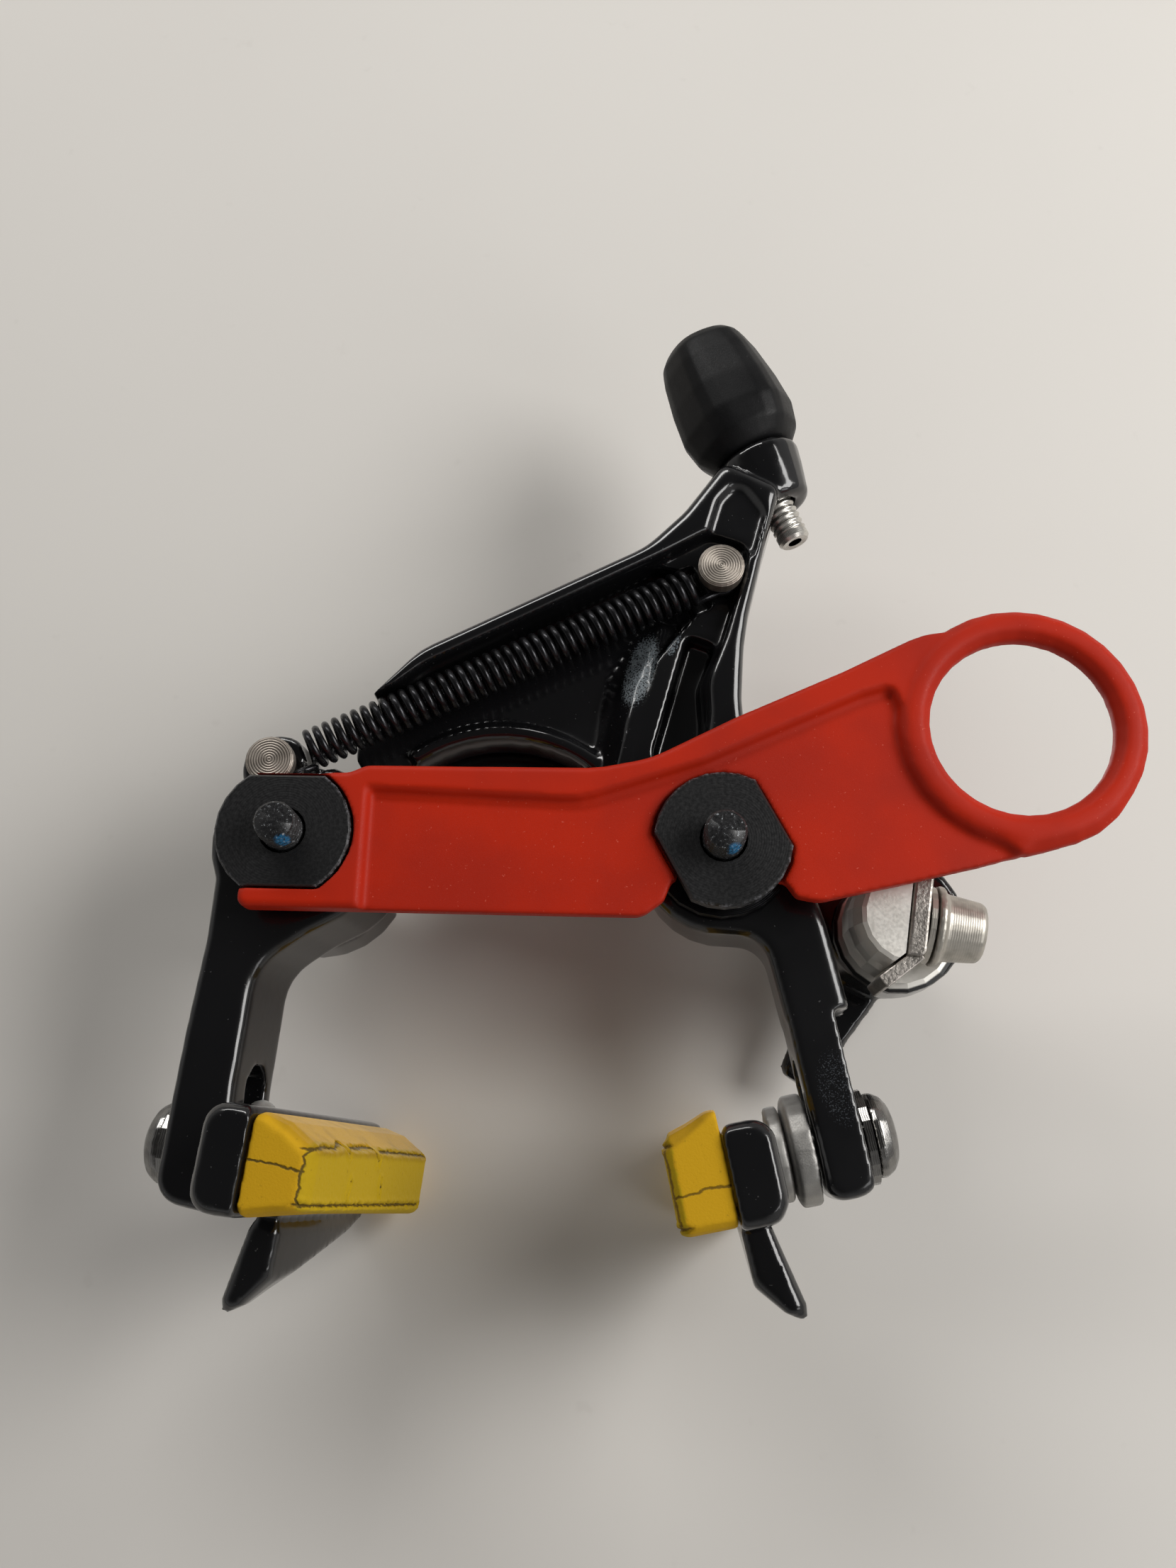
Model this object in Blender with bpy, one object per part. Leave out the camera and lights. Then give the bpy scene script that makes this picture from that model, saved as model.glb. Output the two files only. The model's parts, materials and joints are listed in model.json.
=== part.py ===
"""Direct mount rim brake with two arms, each on its own post.

Sizes are in millimetres and meshes in metres. Seen from behind, as the frame sees
the brake, X runs to the right and Z up. Y runs from the frame to the front, and
Y = 0 is the plane that the two flange washers rest on. The origin lies midway
between the posts. The brake stands fully open.
"""
import math

import bmesh
import bpy
from mathutils import Matrix, Vector

MM = 0.001
GAP = 0.3
ARC_STEP = 15.0

# Driving dimensions
POST_SPACING = 62.0
BOLT_RADIUS = 3.0
BOLT_PROUD = 5.0
WASHER_RADIUS = 9.7
WASHER_FLAT = 8.05
WASHER_THICKNESS = 2.5
ARM_REAR = 7.5
ARM_DEPTH = 13.5
RIGHT_HUB_RADIUS = 12.0
LEFT_HUB_RADIUS = 12.8
NECK_DEPTH = 1.4
EXTENSION_DEPTH = 9.5
BORE_RADIUS = 6.1
SLEEVE_WALL = 1.2
BUSH_COLLAR_RADIUS = 5.7
LEG_LENGTH = 50.0
SPACER_THICKNESS = 4.3
GROOVE_DEPTH = 1.5
RING_INNER_RADIUS = 12.9
RING_TUBE_RADIUS = 2.5
RING_TUBE_DEPTH = 2.4
SPRING_RADIUS = 3.2
WIRE_RADIUS = 0.55
SPRING_PITCH = 1.53
SPRING_PIN_RADIUS = 2.1
HOOK_REACH = 5.3
KNOB_RADIUS = 9.6
ADJUSTER_RADIUS = 2.6
ADJUSTER_LEAN = 23.26
LINK_PIN_RADIUS = 2.0
ROLLER_RADIUS = 3.0
CAM_RADIUS = 6.3
PIVOT_PIN_RADIUS = 3.0
ECCENTRIC = (-0.5, -1.8)
SWIVEL_TILT = 8.0
LEVER_LENGTH = 27.0
PAD_LENGTH = 54.0
PAD_HEIGHT = 12.0
PAD_DEPTH = 7.0
PAD_CHAMFER = 4.0
PAD_TRAVEL = 8.0
PAD_BOLT_RADIUS = 2.9
HOLDER_DEPTH = 6.4
HOLDER_RISE = 1.4
CABLE_BOLT_RADIUS = 2.5

# Layers from the frame to the front
HALF = POST_SPACING / 2
BUSH_REAR = WASHER_THICKNESS + GAP
BUSH_COLLAR_FRONT = SPACER_THICKNESS + GAP
BUSH_FRONT = BUSH_COLLAR_FRONT + 1.8
BOSS_REAR = BUSH_FRONT + GAP
RIM_REAR = ARM_REAR - 2.0
PLATFORM = ARM_REAR + 1.5
LIP_REAR = ARM_REAR + 3.9
FLOOR = ARM_REAR + 5.5
RIGHT_FRONT = ARM_REAR + ARM_DEPTH
EXTENSION_REAR = RIGHT_FRONT + 0.5
LEFT_FRONT = EXTENSION_REAR + EXTENSION_DEPTH
LEVER_REAR = LEFT_FRONT + GAP
SPRING_PLANE = ARM_REAR + 0.5
PAD_PLANE = ARM_REAR + 8.0
CABLE_PLANE = ARM_REAR + 4.5
ADJUSTER_PLANE = ARM_REAR + 5.0

# Pin places, right of and above the post that each arm turns on
LOWER_PIN = (-4.2, 11.8)
UPPER_PIN = (0.0, 43.7)
LINK_HEIGHT = 27.0
CLOSING_ANGLE = 12.0

COLOURS = {
    "forging": ((0.012, 0.012, 0.013), 0.22, 0.3),
    "washer": ((0.02, 0.02, 0.021), 0.4, 0.2),
    "spacer": ((0.38, 0.020, 0.010), 0.62, 0.0),
    "pad": ((0.58, 0.37, 0.02), 0.75, 0.0),
    "silver": ((0.62, 0.60, 0.56), 0.32, 1.0),
    "chrome": ((0.75, 0.75, 0.76), 0.12, 1.0),
    "grey": ((0.30, 0.30, 0.30), 0.5, 0.8),
    "rubber": ((0.018, 0.018, 0.018), 0.8, 0.0),
    "polymer": ((0.55, 0.54, 0.50), 0.55, 0.0),
    "spring": ((0.025, 0.025, 0.028), 0.35, 0.7),
}


def clear_scene():
    """Removes the objects that the scene starts with."""
    for item in list(bpy.data.objects):
        bpy.data.objects.remove(item, do_unlink=True)


def finish(kind, name):
    """A Principled material of one piece's own, in the colour of its kind."""
    colour, roughness, metallic = COLOURS[kind]
    material = bpy.data.materials.new(name)
    material.use_nodes = True
    shader = material.node_tree.nodes["Principled BSDF"]
    shader.inputs["Base Color"].default_value = (*colour, 1.0)
    shader.inputs["Roughness"].default_value = roughness
    shader.inputs["Metallic"].default_value = metallic
    return material


# Outlines in the X-Z plane

def at(x, z, radius=0.0):
    """A corner that keeps its place over the posts when their spacing changes.

    It is written for posts 62 mm apart. Between them X stretches, and beyond
    them a corner keeps its distance from the nearer post.
    """
    drawn_half = 31.0
    if abs(x) <= drawn_half:
        return (x * HALF / drawn_half, z, radius)
    return (x + math.copysign(HALF - drawn_half, x), z, radius)


def leg(x, z, radius=0.0):
    """A corner of an arm's leg, whose depth below the post follows LEG_LENGTH."""
    drawn_length = 50.0
    return at(x, z * LEG_LENGTH / drawn_length, radius)


def on_circle(centre, radius, degrees):
    """The point at an angle from +X towards +Z."""
    angle = math.radians(degrees)
    return (centre[0] + radius * math.cos(angle), centre[1] + radius * math.sin(angle))


def arc(centre, radius, start, end, step=ARC_STEP):
    """Points on a circle from one angle to another."""
    count = max(2, math.ceil(abs(end - start) / step))
    turn = (end - start) / count
    return [on_circle(centre, radius, start + turn * i) for i in range(count + 1)]


def circle(centre, radius, count=24):
    """A whole circle without a doubled last point."""
    return [on_circle(centre, radius, 360.0 * i / count) for i in range(count)]


def stadium(first, last, half_width):
    """A slot's outline round the line between two centres."""
    along = math.degrees(math.atan2(last[1] - first[1], last[0] - first[0]))
    return arc(last, half_width, along - 90, along + 90) + arc(
        first, half_width, along + 90, along + 270
    )


def rounded(corners, step=ARC_STEP):
    """The outline with a fillet at each corner that states a radius."""
    points = []
    for i, corner in enumerate(corners):
        here = Vector(corner[:2])
        radius = corner[2] if len(corner) == 3 else 0.0
        if radius == 0.0:
            points.append(tuple(here))
            continue
        back = Vector(corners[i - 1][:2]) - here
        ahead = Vector(corners[(i + 1) % len(corners)][:2]) - here
        half = back.angle(ahead) / 2
        reach = min(radius / math.tan(half), 0.45 * back.length, 0.45 * ahead.length)
        radius = reach * math.tan(half)
        inward = (back.normalized() + ahead.normalized()).normalized()
        middle = here + inward * radius / math.sin(half)
        spoke = here + back.normalized() * reach - middle
        side = 1 if back.cross(ahead) < 0 else -1
        sweep = side * (math.pi - 2 * half)
        count = max(1, math.ceil(math.degrees(abs(sweep)) / step))
        for k in range(count + 1):
            turned_spoke = Matrix.Rotation(sweep * k / count, 2) @ spoke
            points.append(tuple(middle + turned_spoke))
    return points


def inset(outline, distance):
    """The outline moved inwards, corner by corner."""
    moved = []
    for i, here in enumerate(outline):
        before = Vector(here) - Vector(outline[i - 1])
        after = Vector(outline[(i + 1) % len(outline)]) - Vector(here)
        first = Vector((-before.y, before.x)).normalized()
        second = Vector((-after.y, after.x)).normalized()
        bisector = (first + second).normalized()
        length = distance / max(bisector.dot(first), 0.5)
        moved.append(tuple(Vector(here) + bisector * length))
    return moved


# Solids

def link(item, parent=None):
    """Adds an object to the scene, and hangs it where it lies on its parent."""
    bpy.context.scene.collection.objects.link(item)
    if parent is not None:
        bpy.context.view_layer.update()
        item.parent = parent
        item.matrix_parent_inverse = parent.matrix_world.inverted()
    return item


def pivot(name, place, parent=None):
    """An empty on a joint's axis. Place is a matrix in millimetres."""
    empty = bpy.data.objects.new(name, None)
    empty.empty_display_size = 0.01
    empty.matrix_world = in_metres(place)
    return link(empty, parent)


def in_metres(place):
    """The same place with its translation in metres."""
    scaled = place.copy()
    scaled.translation = place.translation * MM
    return scaled


def solid(name, rings, kind, place=None, parent=None, looped=False, local=False):
    """A closed mesh through rings of as many points each.

    A ring's points are in the brake's axes, or in the place's own when local.
    The object's origin lies at the place. A looped solid joins its last ring to
    its first, as a bush does, and any other is capped at both ends.
    """
    place = place or Matrix.Identity(4)
    inverse = Matrix.Identity(4) if local else place.inverted()
    mesh = bmesh.new()
    levels = [[mesh.verts.new((inverse @ Vector(p)) * MM) for p in ring] for ring in rings]
    count = len(levels[0])
    pairs = list(zip(levels, levels[1:]))
    if looped:
        pairs.append((levels[-1], levels[0]))
    else:
        mesh.faces.new(levels[0][::-1])
        mesh.faces.new(levels[-1])
    for low, high in pairs:
        for i in range(count):
            j = (i + 1) % count
            mesh.faces.new((low[i], low[j], high[j], high[i]))
    bmesh.ops.recalc_face_normals(mesh, faces=mesh.faces)
    data = bpy.data.meshes.new(name)
    mesh.to_mesh(data)
    mesh.free()
    data.shade_smooth()
    data.set_sharp_from_angle(angle=math.radians(35))
    data.materials.append(finish(kind, name))
    item = bpy.data.objects.new(name, data)
    item.matrix_world = in_metres(place)
    return link(item, parent)


def prism(name, outline, levels, kind="forging", skew=0.0, **options):
    """An outline carried along Y, inset by its own amount at each level.

    Levels are pairs of Y and inset. Skew moves the outline in +X by the front.
    """
    first, last = levels[0][0], levels[-1][0]
    rings = []
    for y, distance in levels:
        shift = skew * (y - first) / (last - first)
        rings.append([(x + shift, y, z) for x, z in inset(outline, distance)])
    return solid(name, rings, kind, **options)


def soft_edges(rear, front, radius):
    """Levels of a prism whose rear and front edges are rounded."""
    return [
        (rear, radius),
        (rear + 0.3 * radius, 0.3 * radius),
        (rear + radius, 0.0),
        (front - radius, 0.0),
        (front - 0.3 * radius, 0.3 * radius),
        (front, radius),
    ]


def turned(name, profile, kind, centre=(0.0, 0.0), bored=False, axis="Y", count=20, **options):
    """A turned piece. The profile's points are pairs of radius and place on the axis."""
    rings = []
    for radius, along in profile:
        ring = circle(centre, radius, count)
        if axis == "Y":
            rings.append([(x, along, z) for x, z in ring])
        else:
            rings.append([(along, x, z) for x, z in ring])
    return solid(name, rings, kind, looped=bored, **options)


def apply_tool(target, tool, operation):
    """Joins or cuts the target with a tool that stays hidden in the scene."""
    tool.name = f"{target.name}_{operation.lower()}_{len(target.modifiers):02d}"
    tool.hide_render = True
    tool.display_type = "WIRE"
    bpy.context.view_layer.update()
    tool.parent = target
    tool.matrix_parent_inverse = target.matrix_world.inverted()
    modifier = target.modifiers.new(tool.name, "BOOLEAN")
    modifier.operation = operation
    modifier.solver = "EXACT"
    modifier.object = tool


def join(target, *tools):
    """Adds material where the tools are."""
    for tool in tools:
        apply_tool(target, tool, "UNION")


def cut(target, *tools):
    """Removes material where the tools are."""
    for tool in tools:
        apply_tool(target, tool, "DIFFERENCE")


def drill(target, centre, radius, rear, front, count=20):
    """A round hole along Y."""
    cut(target, turned("drill", [(radius, rear), (radius, front)], "silver", centre, count=count))


def hexagon(flat, degrees=0.0):
    """A hexagon of that width across its flats, round the origin."""
    corner = flat / math.sqrt(3)
    return [on_circle((0, 0), corner, degrees + 60 * i) for i in range(6)]


def box(name, low, high, **options):
    """A plain block between two corners."""
    (x0, y0, z0), (x1, y1, z1) = low, high
    outline = [(x0, z0), (x1, z0), (x1, z1), (x0, z1)]
    return prism(name, outline, [(y0, 0), (y1, 0)], **options)


LEFT_POST = (-HALF, 0.0)
RIGHT_POST = (HALF, 0.0)
SIDES = (("left", LEFT_POST, LEFT_FRONT), ("right", RIGHT_POST, RIGHT_FRONT))


# Posts: what stays with the frame

def flatted_circle(centre, radius, flat, normal):
    """A circle with two flats at that distance, square to the normal's angle."""
    corner = math.degrees(math.acos(min(flat / radius, 1.0)))
    return arc(centre, radius, normal + corner, normal + 180 - corner) + arc(
        centre, radius, normal + 180 + corner, normal + 360 - corner
    )


def post_pieces(side, post, arm_front):
    """Bolt, washers, bush and liner of one post."""
    flat_angle = {"left": 90.0, "right": 29.0}[side]
    edge = 0.3
    outline = flatted_circle(post, WASHER_RADIUS, WASHER_FLAT, flat_angle)
    levels = [(0, edge), (edge, 0), (WASHER_THICKNESS - edge, 0), (WASHER_THICKNESS, edge)]
    washer = prism(f"flange_washer_{side}", outline, levels, "washer")
    drill(washer, post, BOLT_RADIUS + 0.4, -1, WASHER_THICKNESS + 1)

    bore = BOLT_RADIUS + GAP
    sleeve = BOLT_RADIUS + GAP + SLEEVE_WALL
    collar = BUSH_COLLAR_RADIUS
    flange = {"left": 8.5, "right": 10.2}[side]
    bush = [
        (bore, BUSH_REAR),
        (collar, BUSH_REAR),
        (collar, BUSH_COLLAR_FRONT),
        (flange, BUSH_COLLAR_FRONT),
        (flange, BUSH_FRONT),
        (sleeve, BUSH_FRONT),
        (sleeve, arm_front + 0.2),
        (bore, arm_front + 0.2),
    ]
    turned(f"pivot_bush_{side}", bush, "silver", post, bored=True)
    liner = [
        (sleeve + GAP, BOSS_REAR + 0.3),
        (BORE_RADIUS - GAP, BOSS_REAR + 0.3),
        (BORE_RADIUS - GAP, arm_front - GAP),
        (sleeve + GAP, arm_front - GAP),
    ]
    turned(f"pivot_liner_{side}", liner, "polymer", post, bored=True)
    thrust_rear = arm_front + 0.5
    thrust_front = thrust_rear + 1.5
    thrust = [
        (BOLT_RADIUS + 0.4, thrust_rear),
        (BORE_RADIUS + 1.9, thrust_rear),
        (BORE_RADIUS + 1.9, thrust_front),
        (BOLT_RADIUS + 0.4, thrust_front),
    ]
    turned(f"thrust_washer_{side}", thrust, "silver", post, bored=True)
    mounting_bolt(side, post, thrust_front + GAP)


def mounting_bolt(side, post, head_rear):
    """A long socket head bolt whose plain end stands out at the rear."""
    head_radius = BOLT_RADIUS + 2.0
    head_front = head_rear + 6.0
    chamfer = 0.5
    profile = [
        (BOLT_RADIUS - chamfer, -BOLT_PROUD),
        (BOLT_RADIUS, -BOLT_PROUD + chamfer),
        (BOLT_RADIUS, head_rear),
        (head_radius, head_rear),
        (head_radius, head_front - chamfer),
        (head_radius - chamfer, head_front),
    ]
    bolt = turned(f"mounting_bolt_{side}", profile, "silver", post)
    socket = [(post[0] + x, post[1] + z) for x, z in hexagon(BOLT_RADIUS * 5 / 3)]
    cut(bolt, prism("socket", socket, [(head_front - 4, 0), (head_front + 1, 0)]))


RING_CENTRE = at(73.5, 17.5)[:2]
RING_TUBE_CENTRE = RING_INNER_RADIUS + RING_TUBE_RADIUS


def transport_spacer():
    """The red spacer: two open slots for the posts, a raised rim and a finger ring."""
    ring_share = RING_TUBE_CENTRE / 15.4
    outline = [
        at(-36.6, -10.9, 1.2), at(19.8, -10.9, 3), at(22.8, -8.6, 0.8), at(24.0, -5.6, 0.8),
        at(39.6, -5.6, 0.8), at(41.2, -7.8, 1), at(44.4, -8.3, 2), at(55.3, -5.7, 20),
        at(67.2, -2.7),
    ]
    outline += arc(RING_CENTRE, RING_TUBE_CENTRE, -70, -250)
    outline += [
        at(60.1, 17.5 + 13.9 * ring_share, 12), at(48.1, 25.2), at(32.9, 18.1, 20),
        at(20.7, 11.7, 14), at(13.0, 10.1, 12), at(-19.8, 9.9, 2), at(-22.2, 8.8, 2),
        at(-36.4, 8.5, 1.0),
    ]
    spacer = prism("transport_spacer", rounded(outline),
                   soft_edges(0, SPACER_THICKNESS, 0.6), "spacer")
    groove = [
        at(-19.2, 6.3), at(10.9, 5.2, 12), at(28.4, 11.2), at(50.8, 21.6), at(54.9, 22.9, 1.2),
    ]
    groove += arc(RING_CENTRE, RING_TUBE_CENTRE + RING_TUBE_RADIUS - 0.3, 172, 258)
    groove += [at(82.0, -4.0), at(82.0, -15.0), at(-19.2, -15.0)]
    rim_levels = [(-1, -0.6), (0.1, -0.6), (0.5, -0.1), (GROOVE_DEPTH, 0.2)]
    cut(spacer, prism("groove", rounded(groove)[::-1], rim_levels))
    for (_, post, _), flat_angle in zip(SIDES, (90.0, 29.0)):
        seat = flatted_circle(post, WASHER_RADIUS + 0.35, WASHER_FLAT + 0.35, flat_angle)
        cut(spacer, prism("seat", seat, [(-1, 0), (BUSH_REAR, 0)]))
    reach = BUSH_COLLAR_RADIUS + GAP
    far = WASHER_RADIUS + 8
    left = arc(LEFT_POST, reach, -90, 90)
    left += [(-HALF - far, reach), (-HALF - far, -reach)]
    right = arc(RIGHT_POST, reach, 0, 180)
    right += [(HALF - reach - 1.2, -far), (HALF + reach + 1.2, -far)]
    for slot in (left, right):
        cut(spacer, prism("slot", slot, [(-2, 0), (SPACER_THICKNESS + 1, 0)]))
    join(spacer, finger_ring())


def finger_ring():
    """The round ring that a finger pulls."""
    rings = []
    steps = 32
    for i in range(steps):
        turn = 360.0 * i / steps
        ring = []
        for k in range(8):
            tube = math.radians(45 * k + 22.5)
            reach = RING_TUBE_CENTRE + RING_TUBE_RADIUS * math.cos(tube)
            x, z = on_circle(RING_CENTRE, reach, turn)
            y = SPACER_THICKNESS - RING_TUBE_DEPTH + RING_TUBE_DEPTH * math.sin(tube)
            ring.append((x, y, z))
        rings.append(ring)
    return solid("finger_ring", rings, "spacer", looped=True)


# Right arm: carries the cable stop, the upper spring pin and the right pad

ARCH_CENTRE = (at(-1.5, 0)[0], -3.5)
ARCH_RADIUS = 21.5 * HALF / 31.0
ADJUSTER_FOOT = Vector((HALF + 2.7, ADJUSTER_PLANE, 73.6))


def adjuster_place():
    """The adjuster's own axes: Y runs up along its axis, from the knob's middle."""
    lean = Matrix.Rotation(math.radians(-ADJUSTER_LEAN), 4, "Y")
    upright = Matrix.Rotation(math.radians(90), 4, "X")
    return Matrix.Translation(ADJUSTER_FOOT) @ lean @ upright


def slot_path(degrees):
    """Where the left arm's roller lies in the right arm, as the brake closes."""
    angle = math.radians(degrees)
    across = HALF * math.cos(2 * angle) - POST_SPACING * math.cos(angle)
    up = HALF * math.sin(2 * angle) - POST_SPACING * math.sin(angle)
    return Vector((
        HALF + across - LINK_HEIGHT * math.sin(2 * angle),
        up + LINK_HEIGHT * math.cos(2 * angle),
    ))


def cam_slot():
    """The curved slot that the roller runs in, open to the front."""
    half_width = ROLLER_RADIUS + GAP
    steps = 5
    path = [slot_path(CLOSING_ANGLE * i / steps) for i in range(steps + 1)]
    heading = [(path[min(i + 1, steps)] - path[max(i - 1, 0)]).normalized() for i in range(steps + 1)]
    sides = [Vector((h.y, -h.x)) * half_width for h in heading]
    first = math.degrees(math.atan2(sides[0].y, sides[0].x))
    last = math.degrees(math.atan2(-sides[-1].y, -sides[-1].x))
    outline = arc(path[0], half_width, first - 180, first)[:-1]
    outline += [tuple(p + s) for p, s in zip(path, sides)]
    outline += arc(path[-1], half_width, last - 180, last)[1:-1]
    outline += [tuple(p - s) for p, s in zip(reversed(path), reversed(sides))][:-1]
    return prism("cam_slot", outline, [(PAD_PLANE - 0.2, 0), (RIGHT_FRONT + 1, 0)])


def ridge():
    """The rounded rib between the spring's channel and the right pocket.

    A station states its crest's place and level, and its width on either side.
    """
    stations = [
        (at(22.9, 37.0), LIP_REAR + 0.6, 3.6, 2.4),
        (at(21.5, 32.2), LIP_REAR - 0.9, 5.5, 3.4),
        (at(19.7, 26.3), LIP_REAR - 1.9, 6.5, 3.4),
        (at(18.4, 20.5), LIP_REAR - 2.5, 6.5, 3.0),
        (at(17.3, 15.0), LIP_REAR - 2.7, 6.0, 2.6),
        (at(16.0, 9.0), LIP_REAR - 2.7, 6.0, 2.6),
    ]
    base = FLOOR + 1.0
    rings = []
    for (x, z, _), crest, left, right in stations:
        fall = FLOOR + 0.2 - crest
        section = [
            (-left, base), (-left, FLOOR + 0.2), (-0.6 * left, crest + 0.62 * fall),
            (-0.3 * left, crest + 0.22 * fall), (-0.8, crest), (0.8, crest + 0.1),
            (0.45 * right, crest + 0.3 * fall), (right, FLOOR + 0.2), (right, base),
        ]
        rings.append([(x + dx * 0.96, y, z - dx * 0.27) for dx, y in section])
    return solid("ridge", rings, "forging")


def arch_lip():
    """The rounded lip along the arch over the tyre."""
    outline = arc(ARCH_CENTRE, ARCH_RADIUS + 2.5, 35, 128, 8)
    outline += arc(ARCH_CENTRE, ARCH_RADIUS, 128, 35, 8)
    levels = [(LIP_REAR, 0.7), (LIP_REAR + 0.7, 0.05), (FLOOR + 0.8, 0.05)]
    return prism("arch_lip", outline, levels)


def cable_stop_arm(parent, place, pad_place):
    """The right arm: hub and leg, the branch over the arch, and the boss on its neck."""
    hub_leg = arc(RIGHT_POST, RIGHT_HUB_RADIUS, 5, 262)
    hub_leg += [
        at(37.0, -12.2, 10), leg(40.5, -25.6), leg(44.1, -41.7), leg(45.7, -48.4, 2.5),
        leg(53.0, -46.6, 4), leg(49.9, -25.5, 40), at(46.1, -10.3, 15), at(43.0, -1.0),
    ]
    arm = prism("cable_stop_arm", rounded(hub_leg), soft_edges(ARM_REAR, RIGHT_FRONT, 1.3),
                place=place, parent=parent, skew=0.8)
    branch = [
        at(43.0, 2.0, 6), at(34.0, 19.5, 14), at(34.6, 34.0, 30), at(38.2, 50.0, 8),
        at(40.3, 58.0, 2), at(31.5, 62.5, 2), at(25.4, 53.8, 8), at(19.5, 47.8, 12),
        at(-14.5, 30.2, 12), at(-22.5, 21.5, 5), at(-24.6, 15.0, 3), at(-21.5, 10.8, 2),
    ]
    branch += arc(ARCH_CENTRE, ARCH_RADIUS, 142, 36, 9)
    branch += [at(20.5, 2.5), at(31.0, -6.0)]
    join(arm, prism("branch", rounded(branch), soft_edges(RIM_REAR, RIGHT_FRONT - 0.4, 1.5)))
    boss = [(4.6, -17.6), (5.4, -17), (6.4, -12.5), (7.0, -9.2), (6.5, -8.2)]
    join(arm, turned("boss", boss, "forging", place=adjuster_place(), local=True))

    inside = [
        at(28.2, 13.0), at(29.3, 20.5, 6), at(29.0, 26.0, 8), at(31.6, 33.0, 10), at(34.6, 43.5, 6),
        at(35.4, 48.4, 2), at(29.4, 50.4, 3), at(23.0, 46.7, 6), at(-13.2, 27.9, 8),
        at(-18.0, 24.2, 3), at(-34.0, 16.6), at(-34.0, -4.0), at(20.0, -2.0), at(22.0, 10.0),
    ]
    inner_edge = [(-1, -0.9), (RIM_REAR, -0.9), (RIM_REAR + 0.4, -0.3), (RIM_REAR + 1.0, 0.0)]
    cut(arm, prism("inside", rounded(inside), inner_edge + [(PLATFORM, 0.2)]))
    neck = [
        at(28.9, 48.6), at(35.9, 46.5), at(37.7, 53.5, 1.5), at(33.8, 58.8, 3), at(30.8, 55.4, 2),
    ]
    cut(arm, prism("neck", rounded(neck), [(-1, -0.7), (RIM_REAR, -0.7), (RIM_REAR + NECK_DEPTH, 0.3)]))
    channel = [
        at(27.9, 38.2, 1), at(24.5, 45.4, 1.5), at(20.6, 45.4, 4), at(-13.0, 27.6, 8),
        at(-18.0, 24.0, 3), at(-34.0, 16.4), at(-34.0, -4.0), at(16.0, -4.0), at(18.0, 12.0),
        at(21.5, 30.0, 3),
    ]
    cut(arm, prism("channel", rounded(channel), [(-1, -0.6), (FLOOR, 0.4)]))
    pocket = [
        at(28.4, 12.5, 3), at(28.8, 20.0, 3), at(28.5, 26.2, 3), at(31.0, 32.9, 1.5),
        at(25.8, 34.8, 1.5), at(24.2, 29.0, 2), at(20.2, 13.5, 2),
    ]
    cut(arm, prism("pocket", rounded(pocket), [(-1, -0.5), (FLOOR, 0.6)]))
    join(arm, ridge(), arch_lip())
    cut(arm, spring_room(-4.0, 1.03))

    drill(arm, RIGHT_POST, BORE_RADIUS + 4.5, -1, BOSS_REAR)
    drill(arm, RIGHT_POST, BORE_RADIUS, -2, RIGHT_FRONT + 1)
    drill(arm, pin_place(RIGHT_POST, UPPER_PIN), SPRING_PIN_RADIUS + GAP, 0, 16.3, 20)
    adjuster_hole = [(ADJUSTER_RADIUS + GAP, -30), (ADJUSTER_RADIUS + GAP, 0)]
    cut(arm, turned("hole", adjuster_hole, "silver", place=adjuster_place(), local=True, count=24))
    cut(arm, cam_slot())
    cut_leg(arm, pad_place, -1, 7.2)
    return arm


def pin_place(post, offset):
    """A spring pin's centre, from the post that its arm turns on."""
    return (post[0] + offset[0], post[1] + offset[1])


def spring_pin(name, post, offset, head_rear, head_radius, seat, **options):
    """A turned pin with a wide head that keeps the spring's hook on its neck."""
    profile = [
        (head_radius - 0.4, head_rear),
        (head_radius, head_rear + 0.35),
        (head_radius, SPRING_PLANE - WIRE_RADIUS - 0.8),
        (head_radius - 0.3, SPRING_PLANE - WIRE_RADIUS - 0.5),
        (SPRING_PIN_RADIUS, SPRING_PLANE - WIRE_RADIUS - 0.5),
        (SPRING_PIN_RADIUS, seat + 6.6),
    ]
    turned(name, profile, "silver", pin_place(post, offset), count=24, **options)


# Left arm: its extension crosses in front to the cable anchor

EYE_CENTRE = at(58.5, -7.2)[:2]
EYE_RADIUS = CAM_RADIUS + 4.4


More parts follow.
